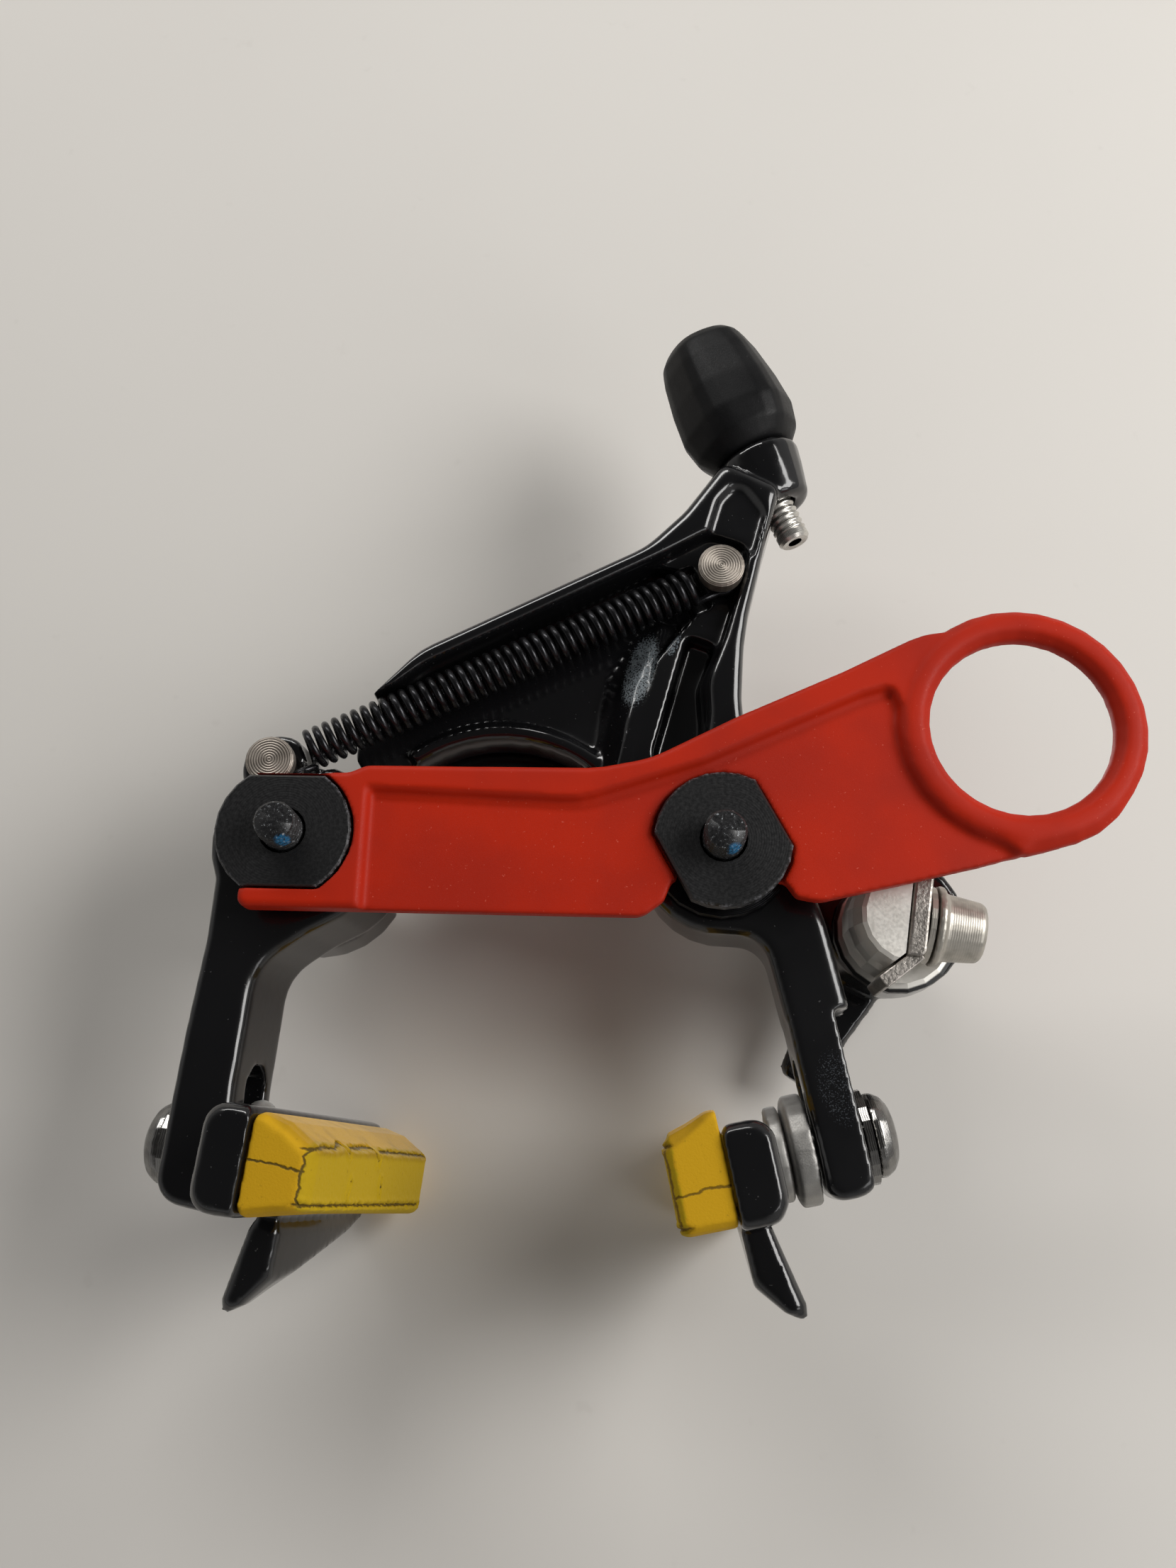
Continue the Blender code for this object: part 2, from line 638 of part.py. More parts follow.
def anchor_arm(parent, place, pad_place):
    """The left arm: hub and leg, and the extension that reaches the cable anchor."""
    hub_leg = arc(LEFT_POST, LEFT_HUB_RADIUS, -56, 205)
    hub_leg += [
        at(-42.9, -14.1, 8), leg(-44.6, -28.1), leg(-46.6, -50.3, 4), leg(-36.0, -52.5, 2.5),
        leg(-36.6, -36.0, 20), leg(-36.0, -28.7), at(-35.2, -17.9, 12), at(-28.6, -13.2, 3),
    ]
    arm = prism("anchor_arm", rounded(hub_leg), soft_edges(ARM_REAR, RIGHT_FRONT + 1.0, 1.3),
                place=place, parent=parent, skew=2.0)
    lug_centre = pin_place(LEFT_POST, LOWER_PIN)
    lug_rear = SPRING_PLANE + WIRE_RADIUS + 0.85
    lug = [(5.0, lug_rear - 0.01), (5.4, lug_rear + 0.6), (5.4, RIGHT_FRONT + 0.4)]
    join(arm, turned("lug", lug, "forging", lug_centre))

    post_clearance = BORE_RADIUS + 5.4
    hub_radius = 13.5
    reach = arc(LEFT_POST, hub_radius, 80, 332)
    reach += arc((ARCH_CENTRE[0], -4.0), ARCH_RADIUS - 2.0, 170, 60)
    reach += [at(15.5, 13.6, 4)]
    reach += arc(RIGHT_POST, post_clearance, 128, 12)
    reach += arc(EYE_CENTRE, EYE_RADIUS, 212, 432)
    reach += [at(45.0, 12.5, 14), at(25.0, 27.0, 14), at(2.0, 32.8, 24), at(-20.0, 20.0, 12)]
    levels = soft_edges(EXTENSION_REAR, LEFT_FRONT, 1.6)
    levels = [(EXTENSION_REAR, 0.6), (EXTENSION_REAR + 0.6, 0.0)] + levels[3:]
    join(arm, prism("reach", rounded(reach), levels))
    rear_boss = [(8.6, BOSS_REAR), (8.6, ARM_REAR + 2)]
    join(arm, turned("rear_boss", rear_boss, "forging", LEFT_POST))

    cut(arm, spring_room(-0.7, 0.4))
    drill(arm, lug_centre, 4.2, 0, lug_rear, 24)
    drill(arm, lug_centre, SPRING_PIN_RADIUS + GAP, 0, lug_rear + 6.9, 20)
    drill(arm, LEFT_POST, BORE_RADIUS, -2, LEFT_FRONT + 1)
    drill(arm, EYE_CENTRE, CAM_RADIUS + GAP, EXTENSION_REAR - 1, LEFT_FRONT + 1)
    drill(arm, (0.0, LINK_HEIGHT), LINK_PIN_RADIUS + GAP, EXTENSION_REAR - 1, LEFT_FRONT - 2.6, 20)
    cut_leg(arm, pad_place, 1, 9.8)
    return arm


def link_pieces(left_arm):
    """The pin and roller that make both arms close together."""
    place = Matrix.Translation((0, PAD_PLANE, LINK_HEIGHT))
    pin = [
        (LINK_PIN_RADIUS - 0.3, PAD_PLANE + 0.1),
        (LINK_PIN_RADIUS, PAD_PLANE + 0.4),
        (LINK_PIN_RADIUS, LEFT_FRONT - 3.0),
    ]
    turned("link_pin", pin, "silver", (0, LINK_HEIGHT), place=place, parent=left_arm, count=20)
    bore = LINK_PIN_RADIUS + GAP
    roller = [
        (bore, PAD_PLANE + 0.1),
        (ROLLER_RADIUS, PAD_PLANE + 0.1),
        (ROLLER_RADIUS, RIGHT_FRONT),
        (bore, RIGHT_FRONT),
    ]
    axle = pivot("link_roller_axis", place, left_arm)
    turned("link_roller", roller, "silver", (0, LINK_HEIGHT), bored=True, place=place,
           parent=axle, count=24)


# Return spring

def spring_line():
    """The spring's line between its pins: start, heading, end and coil length."""
    start = Vector(pin_place(LEFT_POST, LOWER_PIN))
    end = Vector(pin_place(RIGHT_POST, UPPER_PIN))
    heading = (end - start).normalized()
    length = (end - start).length - 2 * HOOK_REACH
    return start, heading, end, length


def spring_room(early, share):
    """Room for the spring's body in an arm.

    It starts that far before the first turn and covers a share of the turns.
    """
    start, heading, _, length = spring_line()
    side = Vector((-heading.y, heading.x)) * (SPRING_RADIUS + 0.6)
    first = start + heading * (HOOK_REACH + early)
    last = start + heading * (HOOK_REACH + length * share + 0.5)
    outline = [first - side, last - side, last + side, first + side]
    front = SPRING_PLANE + SPRING_RADIUS + 0.4
    return prism("spring_room", [tuple(p) for p in outline], [(-1, 0), (front, 0)])


def return_spring():
    """A close wound tension spring with a side hook round each pin's neck."""
    start, heading, end, length = spring_line()
    side = Vector((-heading.y, heading.x))
    radius = SPRING_RADIUS - WIRE_RADIUS
    hook = SPRING_PIN_RADIUS + GAP + WIRE_RADIUS
    turns = round(length / SPRING_PITCH)
    steps = 6
    points = []

    def on_hook(centre, degrees, forward):
        along = heading * forward * hook * math.cos(math.radians(degrees))
        up = side * hook * math.sin(math.radians(degrees))
        return centre + along + up

    for degrees in range(-150, 121, 30):
        flat = on_hook(start, degrees, -1)
        points.append((flat.x, SPRING_PLANE, flat.y))
    for i in range(turns * steps + 1):
        angle = math.radians(360.0 * i / steps)
        along = start + heading * (HOOK_REACH + length * i / (turns * steps))
        flat = along + side * radius * math.cos(angle)
        points.append((flat.x, SPRING_PLANE + radius * math.sin(angle), flat.y))
    for degrees in range(120, -151, -30):
        flat = on_hook(end, degrees, 1)
        points.append((flat.x, SPRING_PLANE, flat.y))
    wire("return_spring", points, WIRE_RADIUS, "spring")


def wire(name, points, radius, kind):
    """A round wire along points, as a curve with a bevel and filled caps."""
    curve = bpy.data.curves.new(name, "CURVE")
    curve.dimensions = "3D"
    curve.bevel_depth = radius * MM
    curve.bevel_resolution = 1
    curve.use_fill_caps = True
    curve.twist_mode = "MINIMUM"
    spline = curve.splines.new("POLY")
    spline.points.add(len(points) - 1)
    for control, point in zip(spline.points, points):
        control.co = (*(Vector(point) * MM), 1.0)
    curve.materials.append(finish(kind, name))
    return link(bpy.data.objects.new(name, curve))


# Cable adjuster

def lobed_ring(radius, along, lobes=6, depth=0.06, count=30):
    """A ring of the knob, with its broad lobes."""
    ring = []
    for i in range(count):
        angle = 2 * math.pi * i / count
        reach = radius * (1 - depth * (0.5 - 0.5 * math.cos(lobes * angle)))
        ring.append((reach * math.cos(angle), along, reach * math.sin(angle)))
    return ring


def adjuster(right_arm):
    """The hollow bolt in the arm's boss, and the knob that is its nut."""
    place = adjuster_place()
    axis = pivot("adjuster_axis", place, right_arm)
    scale = KNOB_RADIUS / 9.6
    profile = [
        (6.3, -7.8, 0.0), (7.0, -7.3, 0.02), (8.7, -5.2, 0.05), (9.6, -1.5, 0.07), (9.2, 4.0, 0.07),
        (8.3, 9.8, 0.07), (7.5, 12.6, 0.06), (6.3, 14.0, 0.03), (5.6, 14.3, 0.0),
    ]
    rings = [lobed_ring(radius * scale, along, depth=depth) for radius, along, depth in profile]
    knob = solid("adjuster_knob", rings, "rubber", place=place, parent=axis, local=True)
    cup = ADJUSTER_RADIUS + 2.0
    bores = [
        [(ADJUSTER_RADIUS + GAP, -9), (ADJUSTER_RADIUS + GAP, 16)],
        [(cup, 3.5), (cup, 16)],
    ]
    for bore in bores:
        cut(knob, turned("bore", bore, "silver", place=place, local=True, count=24))
    bolt = [
        (ADJUSTER_RADIUS - 0.4, -24), (ADJUSTER_RADIUS, -23.6), (ADJUSTER_RADIUS, 8.4),
        (cup - 0.4, 8.9), (cup - 0.4, 14.4), (cup - 0.8, 14.8), (ADJUSTER_RADIUS + 0.1, 14.8),
        (ADJUSTER_RADIUS + 0.1, 9.2), (1.1, 8.4), (1.1, -24),
    ]
    turned("adjuster_bolt", bolt, "silver", bored=True, place=place, parent=axis, local=True, count=20)


# Quick release lever and cable anchor

SWIVEL_FRONT = EXTENSION_REAR - GAP


def quick_release(left_arm):
    """The lever with its cam in the arm's eye and an eccentric pin behind it."""
    place = Matrix.Translation((EYE_CENTRE[0], LEVER_REAR, EYE_CENTRE[1]))
    axis = pivot("qr_lever_axis", place, left_arm)
    boss_radius = EYE_RADIUS - 0.5
    cam = [(CAM_RADIUS, EXTENSION_REAR + GAP), (CAM_RADIUS, LEVER_REAR + 0.8)]
    lever = turned("qr_lever", cam, "forging", EYE_CENTRE, place=place, parent=axis)
    boss = [
        (boss_radius - 0.4, LEVER_REAR), (boss_radius, LEVER_REAR + 0.4),
        (boss_radius, LEVER_REAR + 2.2), (boss_radius - 1.2, LEVER_REAR + 3.4),
    ]
    join(lever, turned("lever_boss", boss, "forging", EYE_CENTRE))
    eccentric = (EYE_CENTRE[0] + ECCENTRIC[0], EYE_CENTRE[1] + ECCENTRIC[1])
    pin = [(PIVOT_PIN_RADIUS, SWIVEL_FRONT - 2.3), (PIVOT_PIN_RADIUS, EXTENSION_REAR + 2.0)]
    join(lever, turned("eccentric_pin", pin, "forging", eccentric, count=24))
    join(lever, lever_blade())
    return axis


def lever_blade():
    """The lever's blade, which widens and lifts away from the arm to its tip."""
    heading = Vector((-0.51, -0.86)).normalized()
    side = Vector((-heading.y, heading.x))
    stations = [
        (2.0, 5.0, 1.0, 3.2), (12.0, 4.2, 1.0, 3.6), (18.0, 3.6, 1.6, 4.4),
        (23.5, 3.9, 2.8, 5.6), (26.2, 3.4, 3.4, 6.2), (27.0, 2.4, 3.8, 6.2),
    ]
    scale = LEVER_LENGTH / 27.0
    rings = []
    for along, half_width, rear, front in stations:
        centre = Vector(EYE_CENTRE) + heading * along * scale
        middle = (rear + front) / 2
        section = [
            (-half_width, middle), (-half_width + 0.8, rear), (half_width - 0.8, rear),
            (half_width, middle), (half_width - 1.4, front), (-half_width + 1.4, front),
        ]
        ring = [(centre + side * across, LEVER_REAR + y) for across, y in section]
        rings.append([(p.x, y, p.y) for p, y in ring])
    return solid("blade", rings, "forging")


def cable_anchor(lever_axis):
    """The swivelling block on the eccentric pin, its clamp plate, washer and bolt."""
    x = EYE_CENTRE[0] + ECCENTRIC[0]
    z = EYE_CENTRE[1] + ECCENTRIC[1]
    tilt = Matrix.Rotation(math.radians(SWIVEL_TILT), 4, "Y")
    place = Matrix.Translation((x, CABLE_PLANE, z)) @ tilt
    swivel = pivot("cable_anchor_axis", place, lever_axis)
    options = {"place": place, "parent": swivel, "local": True}
    depth = SWIVEL_FRONT - CABLE_PLANE

    body = [
        (6.6, -6.0), (7.2, -5.6), (8.2, -3.6), (8.6, -1.6), (8.6, 4.0), (7.9, depth - 2.2),
        (9.3, depth - 1.7), (9.3, depth - 0.3), (9.0, depth),
    ]
    block = turned("anchor_block", body, "chrome", **options)
    seat = [(-0.5, -5.6), (-4.9, -10.0), (-4.9, -14), (12, -14), (12, 12), (-0.5, 12)]
    cut(block, prism("plate_seat", seat, [(-12, 0), (depth - 2.9, 0)], place=place, local=True))
    pivot_bore = [(PIVOT_PIN_RADIUS + GAP, depth - 2.6), (PIVOT_PIN_RADIUS + GAP, depth + 1)]
    cut(block, turned("pivot_bore", pivot_bore, "chrome", place=place, local=True, count=24))
    clamp_hole = [(CABLE_BOLT_RADIUS + 0.1, -5.5), (CABLE_BOLT_RADIUS + 0.1, 2)]
    cut(block, turned("clamp_hole", clamp_hole, "chrome", axis="X", place=place, local=True, count=20))

    plate_outline = rounded([
        (-0.2, -5.8), (2.4, -5.8, 2.0), (2.4, 6.5, 0.6), (-0.2, 6.5, 0.6),
    ])
    tab = rounded([(1.1, -4.4), (-0.2, -5.8), (-3.8, -9.4, 0.4), (-2.4, -10.8, 0.4), (2.4, -5.8)])
    plate = prism("anchor_plate", plate_outline, soft_edges(-6.0, depth - 3.2, 0.4), "chrome", **options)
    join(plate, prism("tab", tab, soft_edges(-5.2, depth - 4.0, 0.2), "chrome", place=place,
                      local=True))
    plate_hole = [(CABLE_BOLT_RADIUS + 0.4, -2), (CABLE_BOLT_RADIUS + 0.4, 4)]
    cut(plate, turned("plate_hole", plate_hole, "chrome", axis="X", place=place, local=True, count=20))

    washer = [
        (CABLE_BOLT_RADIUS + 0.4, 2.7), (5.6, 2.7), (5.6, 3.5), (CABLE_BOLT_RADIUS + 0.4, 3.5),
    ]
    turned("anchor_washer", washer, "silver", axis="X", bored=True, count=24, **options)
    bolt = [
        (CABLE_BOLT_RADIUS - 0.3, -5.0), (CABLE_BOLT_RADIUS, -4.7), (CABLE_BOLT_RADIUS, 3.8),
        (5.9, 3.8), (5.9, 4.8), (5.0, 5.2), (4.4, 10.4), (3.9, 11.0),
    ]
    screw = turned("anchor_bolt", bolt, "chrome", axis="X", count=24, **options)
    socket = [[(x, y, z) for y, z in hexagon(4.0)] for x in (7.0, 12.0)]
    cut(screw, solid("socket", socket, "chrome", place=place, local=True))


# Pad sets

def pad_frame(origin, inward, tilt, toe):
    """A pad set's axes: X square to the brake face, Y along it and Z up the leg."""
    along = Vector((math.sin(math.radians(toe)), math.cos(math.radians(toe)), 0))
    up = Vector((inward * math.sin(math.radians(tilt)), 0, math.cos(math.radians(tilt))))
    square = along.cross(up).normalized()
    up = square.cross(along)
    turn = Matrix((square, along, up)).transposed().to_4x4()
    return Matrix.Translation(origin) @ turn


PAD_SIDES = {
    "left": {"origin": leg(-35.3, -44.0), "inward": 1, "tilt": 6.5, "toe": 7.0, "leg": 9.8,
             "convex": (-0.3, 1.6), "concave": (1.9, 3.5), "drop": 0.5},
    "right": {"origin": leg(43.9, -41.0), "inward": -1, "tilt": 12.5, "toe": 3.0, "leg": 7.2,
              "convex": (-0.3, 2.9), "concave": (3.2, 5.3), "drop": 1.7},
}


def pad_place(side):
    """Where a pad set's own axes lie."""
    facts = PAD_SIDES[side]
    x, z, _ = facts["origin"]
    return pad_frame((x, PAD_PLANE, z), facts["inward"], facts["tilt"], facts["toe"])


def cut_leg(arm, place, inward, thickness):
    """Flat seats on both faces of a leg, and the slot that the pad bolt slides in."""
    seat = 0.6
    low, high = -9.2, PAD_TRAVEL + 9.5
    inner = sorted((-inward * seat, inward * 9.0))
    outer = sorted((-inward * thickness, -inward * (thickness + 9.0)))
    for near, far in (inner, outer):
        cut(arm, box("seat", (near, -12, low), (far, 12, high), place=place, local=True))
    half_width = PAD_BOLT_RADIUS + 0.4
    outline = stadium((0, -1.6), (0, PAD_TRAVEL + 1.0), half_width)
    rings = [[(x, y, z) for y, z in outline] for x in (-20, 20)]
    cut(arm, solid("bolt_slot", rings, "forging", place=place, local=True))


def mirrored(points, inward):
    """Points of a left pad set, carried over to the side that they face."""
    return [(inward * x, y, z) for x, y, z in points]


def pad_set(side, parent):
    """Holder, rubber, bolt and washers of one side, sliding together on the leg."""
    facts = PAD_SIDES[side]
    place = pad_place(side)
    inward = facts["inward"]
    axis = pivot(f"{side}_pad_axis", place, parent)
    options = {"place": place, "parent": axis, "local": True}

    def ring(radius, along, count=20):
        return mirrored([(along, y, z) for y, z in circle((0, 0), radius, count)], inward)

    def lathe(name, profile, kind, **more):
        return solid(name, [ring(r, a) for r, a in profile], kind, **{**options, **more})

    bore = PAD_BOLT_RADIUS + GAP
    rear, front = facts["convex"]
    convex = [
        (bore, rear), (7.8, rear), (7.8, front - 0.5), (6.9, front), (5.2, front + 0.25), (bore, front + 0.25),
    ]
    start, end = facts["concave"]
    concave = [
        (bore, start + 0.3), (5.2, start + 0.3), (6.0, start), (6.7, start + 0.3), (6.7, end), (bore, end),
    ]
    lathe(f"convex_washer_{side}", convex, "grey", looped=True)
    lathe(f"concave_washer_{side}", concave, "grey", looped=True)

    outer = -facts["leg"] - GAP
    washer = [(bore, outer), (6.6, outer), (6.6, outer - 1.1), (bore, outer - 1.1)]
    lathe(f"pad_bolt_washer_{side}", washer, "silver", looped=True)
    head = outer - 1.1 - GAP
    holder_start = end + 0.3
    bolt = [
        (PAD_BOLT_RADIUS - 0.4, holder_start + 3.2), (PAD_BOLT_RADIUS, holder_start + 2.8),
        (PAD_BOLT_RADIUS, head), (5.9, head), (5.9, head - 1.0), (5.2, head - 2.2),
        (3.9, head - 3.0), (2.6, head - 3.3),
    ]
    screw = lathe(f"pad_bolt_{side}", bolt, "silver")
    socket = [mirrored([(x, y, z) for y, z in hexagon(4.0)], inward) for x in (head - 1.3, head - 5)]
    cut(screw, solid("socket", socket, "silver", place=place, local=True))

    pad_holder(side, facts, holder_start, inward, options)
    brake_pad(side, facts, holder_start, inward, options)


def bar(name, sections, inward, kind, **options):
    """A bar along Y. Sections are pairs of Y and the outline's points in X and Z."""
    rings = [mirrored([(x, y, z) for x, z in outline], inward) for y, outline in sections]
    return solid(name, rings, kind, **options)


def pad_holder(side, facts, start, inward, options):
    """The aluminium holder: a bar with a channel for the pad, and a guide wing below."""
    half_length = PAD_LENGTH / 2 + 0.8
    middle = -facts["drop"]
    top = middle + PAD_HEIGHT / 2 + HOLDER_RISE
    bottom = middle - PAD_HEIGHT / 2 - GAP

    def outline(shrink):
        return rounded([
            (start + shrink, bottom + shrink, 3.6), (start + HOLDER_DEPTH, bottom + shrink, 0.6),
            (start + HOLDER_DEPTH, top - shrink, 1.0), (start + shrink, top - shrink, 4.0),
        ], 23)

    sections = [
        (-half_length, outline(1.0)), (-half_length + 1.0, outline(0.15)), (-half_length + 3, outline(0)),
        (half_length - 3, outline(0)), (half_length - 1.0, outline(0.15)), (half_length, outline(1.0)),
    ]
    holder = bar(f"pad_holder_{side}", sections, inward, "forging", **options)
    tool = {"place": options["place"], "local": True}
    join(holder, guide_wing(start, bottom, inward, tool))
    slot = tongue_outline(start + HOLDER_DEPTH + 1, start + 3.9, middle, 0.0)
    wall = 1.6
    cut(holder, bar("channel", [(-half_length + wall, slot), (half_length + 2, slot)], inward,
                    "forging", **tool))
    hole = [(start - 1, PAD_BOLT_RADIUS + GAP), (start + 3.5, PAD_BOLT_RADIUS + GAP)]
    rings = [mirrored([(x, y, z) for y, z in circle((0, 0), r, 20)], inward) for x, r in hole]
    cut(holder, solid("hole", rings, "forging", **tool))


def tongue_outline(face, root, middle, clearance):
    """The dovetail of holder and pad. A clearance shrinks the pad's tongue."""
    wide = 4.4 - clearance
    narrow = 3.2 - clearance
    return [(root, middle - wide), (face, middle - narrow), (face, middle + narrow), (root, middle + wide)]


def guide_wing(start, bottom, inward, tool):
    """The wing under the holder that guides the rim between the pads.

    A station states its place along the holder, how far in and down its tip
    lies, and how far down its straight inner side runs.
    """
    stations = [
        (-10.0, 1.2, 11.6, 6.6), (-9.2, 0.2, 13.0, 7.6), (-6.5, 0.5, 12.2, 7.8),
        (-3.0, 1.3, 10.6, 7.4), (1.0, 2.2, 8.8, 6.8), (7.0, 3.2, 6.6, 5.4), (14.5, 4.0, 4.2, 3.6),
        (22.0, 4.4, 2.0, 1.7), (26.5, 4.5, 0.8, 0.6),
    ]
    sections = []
    for y, tip, down, inner in stations:
        outline = [
            (start + tip, bottom - down + 0.3), (start + tip + 0.8, bottom - down),
            (start + 5.6, bottom - inner), (start + 5.8, bottom + 1.0), (start + 3.2, bottom + 1.0),
        ]
        sections.append((y * PAD_LENGTH / 54.0, outline))
    return bar("wing", sections, inward, "forging", **tool)


def brake_pad(side, facts, start, inward, options):
    """The rubber pad with its tongue. Its top slopes down to the braking face."""
    face_start = start + HOLDER_DEPTH + GAP
    half_length = PAD_LENGTH / 2
    middle = -facts["drop"]
    stations = [(0.0, 1.0), (0.8, 0.35), (2.4, 0.0)]

    def outline(shrink):
        low = middle - PAD_HEIGHT / 2 + shrink
        high = middle + PAD_HEIGHT / 2 - shrink
        face = face_start + PAD_DEPTH - shrink
        return rounded([
            (face_start, low, 0.5), (face, low, 1.2), (face, high - PAD_CHAMFER, 1.0),
            (face_start + 1.3, high, 0.8), (face_start, high, 0.3),
        ], 30)

    sections = [(-half_length + along, outline(shrink)) for along, shrink in stations]
    sections += [(half_length - along, outline(shrink)) for along, shrink in reversed(stations)]
    pad = bar(f"brake_pad_{side}", sections, inward, "pad", **options)
    tongue = tongue_outline(face_start + 1, start + 4.2, middle, GAP)
    tool = {"place": options["place"], "local": True}
    join(pad, bar("tongue", [(-half_length + 1.3, tongue), (half_length - 1.0, tongue)], inward,
                  "pad", **tool))


def build():
    """Makes the brake, body by body."""
    clear_scene()
    for side, post, arm_front in SIDES:
        post_pieces(side, post, arm_front)
    transport_spacer()
    return_spring()

    right_place = Matrix.Translation((HALF, 0, 0))
    right_arm = pivot("right_arm_pivot", right_place)
    cable_stop_arm(right_arm, right_place, pad_place("right"))
    spring_pin("spring_pin_upper", RIGHT_POST, UPPER_PIN, 4.3, 3.5, PLATFORM,
               place=right_place, parent=right_arm)
    adjuster(right_arm)

    left_place = Matrix.Translation((-HALF, 0, 0))
    left_arm = pivot("left_arm_pivot", left_place)
    anchor_arm(left_arm, left_place, pad_place("left"))
    lug_rear = SPRING_PLANE + WIRE_RADIUS + 0.85
    spring_pin("spring_pin_lower", LEFT_POST, LOWER_PIN, 4.8, 3.6, lug_rear,
               place=left_place, parent=left_arm)
    link_pieces(left_arm)
    cable_anchor(quick_release(left_arm))

    for side, arm in (("left", left_arm), ("right", right_arm)):
        pad_set(side, arm)


build()
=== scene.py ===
"""Looks of a direct mount rim brake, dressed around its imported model.

Lengths are in metres, in the model's own axes: X runs to the right and Z up as the
frame sees the brake, and Y from the frame to the front. The brake lies on its front,
so the table is a plane square to Y.
"""

import json
import logging
import math
from dataclasses import dataclass, field
from enum import Enum
from typing import Sequence

import bmesh
import bpy
import numpy as np
from mathutils import Matrix, Vector, noise

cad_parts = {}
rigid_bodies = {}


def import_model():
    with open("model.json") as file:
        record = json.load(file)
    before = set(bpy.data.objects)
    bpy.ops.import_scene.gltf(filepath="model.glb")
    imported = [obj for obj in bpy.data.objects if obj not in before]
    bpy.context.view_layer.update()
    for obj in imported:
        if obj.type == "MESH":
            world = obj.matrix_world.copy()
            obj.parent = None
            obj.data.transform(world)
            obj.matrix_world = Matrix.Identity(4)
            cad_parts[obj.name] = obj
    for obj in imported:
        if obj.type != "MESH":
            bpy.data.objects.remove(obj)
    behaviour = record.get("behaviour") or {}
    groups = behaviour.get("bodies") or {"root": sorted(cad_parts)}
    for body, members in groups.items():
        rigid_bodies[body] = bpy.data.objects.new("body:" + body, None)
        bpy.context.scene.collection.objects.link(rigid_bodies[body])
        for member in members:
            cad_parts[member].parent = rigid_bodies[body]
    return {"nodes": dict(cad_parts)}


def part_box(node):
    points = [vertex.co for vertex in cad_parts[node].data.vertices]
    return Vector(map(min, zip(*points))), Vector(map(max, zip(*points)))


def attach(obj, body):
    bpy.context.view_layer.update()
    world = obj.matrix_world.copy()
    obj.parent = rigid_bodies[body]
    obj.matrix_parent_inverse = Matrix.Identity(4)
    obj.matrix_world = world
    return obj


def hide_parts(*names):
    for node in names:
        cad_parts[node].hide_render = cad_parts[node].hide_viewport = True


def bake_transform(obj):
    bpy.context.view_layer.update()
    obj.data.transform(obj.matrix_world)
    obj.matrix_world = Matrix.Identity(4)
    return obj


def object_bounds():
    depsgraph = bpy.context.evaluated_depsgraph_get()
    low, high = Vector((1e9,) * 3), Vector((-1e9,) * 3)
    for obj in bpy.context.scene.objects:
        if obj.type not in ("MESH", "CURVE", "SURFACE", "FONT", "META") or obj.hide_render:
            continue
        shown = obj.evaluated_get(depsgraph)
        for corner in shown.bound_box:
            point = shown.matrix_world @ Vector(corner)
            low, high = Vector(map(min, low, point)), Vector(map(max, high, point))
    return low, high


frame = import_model()
CAD_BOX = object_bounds()

MM = 0.001
LOG = logging.getLogger("brake")

Colour = tuple[float, float, float]
Point = tuple[float, float, float]


def clamp(value: float) -> float:
    """A value held in 0 to 1."""
    return max(0.0, min(1.0, value))


def ramp(value: float, start: float, end: float) -> float:
    """How far a value has gone from a start to an end, held in 0 to 1."""
    return clamp((value - start) / (end - start))


def mm(*numbers: float) -> tuple[float, ...]:
    """Millimetres as a tuple of metres."""
    return tuple(number * MM for number in numbers)


class Slot(Enum):
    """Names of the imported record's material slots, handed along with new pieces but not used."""

    FORGING = "black_forging"
    RED = "red_plastic"
    YELLOW = "yellow_rubber"
    RUBBER = "black_rubber"
    CHROME = "chromed_steel"
    STEEL = "steel"
    GREY = "grey_steel"
    SPRING = "spring_steel"


class Side(Enum):
    """The two pad sets, with the sign of X that points at the rim."""

    LEFT = 1
    RIGHT = -1

    @property
    def word(self) -> str:
        """The side as node names spell it."""
        return self.name.lower()


class Graph:
    """A node tree in the making."""

    def __init__(self, tree: bpy.types.NodeTree) -> None:
        """Takes up a tree.

        Args:
            tree: The tree that nodes are added to.
        """
        self.tree = tree

    def feed(self, socket: bpy.types.NodeSocket, value: object) -> None:
        """Links a socket to another one, or writes its value.

        Args:
            socket: The input to fill.
            value: A socket, a number, a colour, a vector or a material.
        """
        if isinstance(value, bpy.types.NodeSocket):
            self.tree.links.new(value, socket)
        elif socket.type == "RGBA":
            socket.default_value = (*value, 1.0)
        else:
            socket.default_value = value

    def node(self, kind: str, inputs: dict, **settings: object) -> bpy.types.Node:
        """Adds one node.

        Args:
            kind: The node's type name, which may leave out its ShaderNode prefix.
            inputs: Its inputs by name or number.
            **settings: Attributes of the node, set first.

        Returns:
            The node.
        """
        node = self.tree.nodes.new(kind if "Node" in kind else "ShaderNode" + kind)
        for key, value in settings.items():
            setattr(node, key, value)
        for key, value in inputs.items():
            self.feed(node.inputs[key], value)
        return node

    def add(self, kind: str, inputs: dict, out: str | int = 0, **settings: object):
        """Adds one node and gives the output that is asked for."""
        return self.node(kind, inputs, **settings).outputs[out]

    def math(self, operation: str, first: object, second: object = 0.0, clamp: bool = False):
        """A Math node on one or two values, with its result held in 0 to 1 if clamped."""
        return self.add("Math", {0: first, 1: second}, operation=operation, use_clamp=clamp)


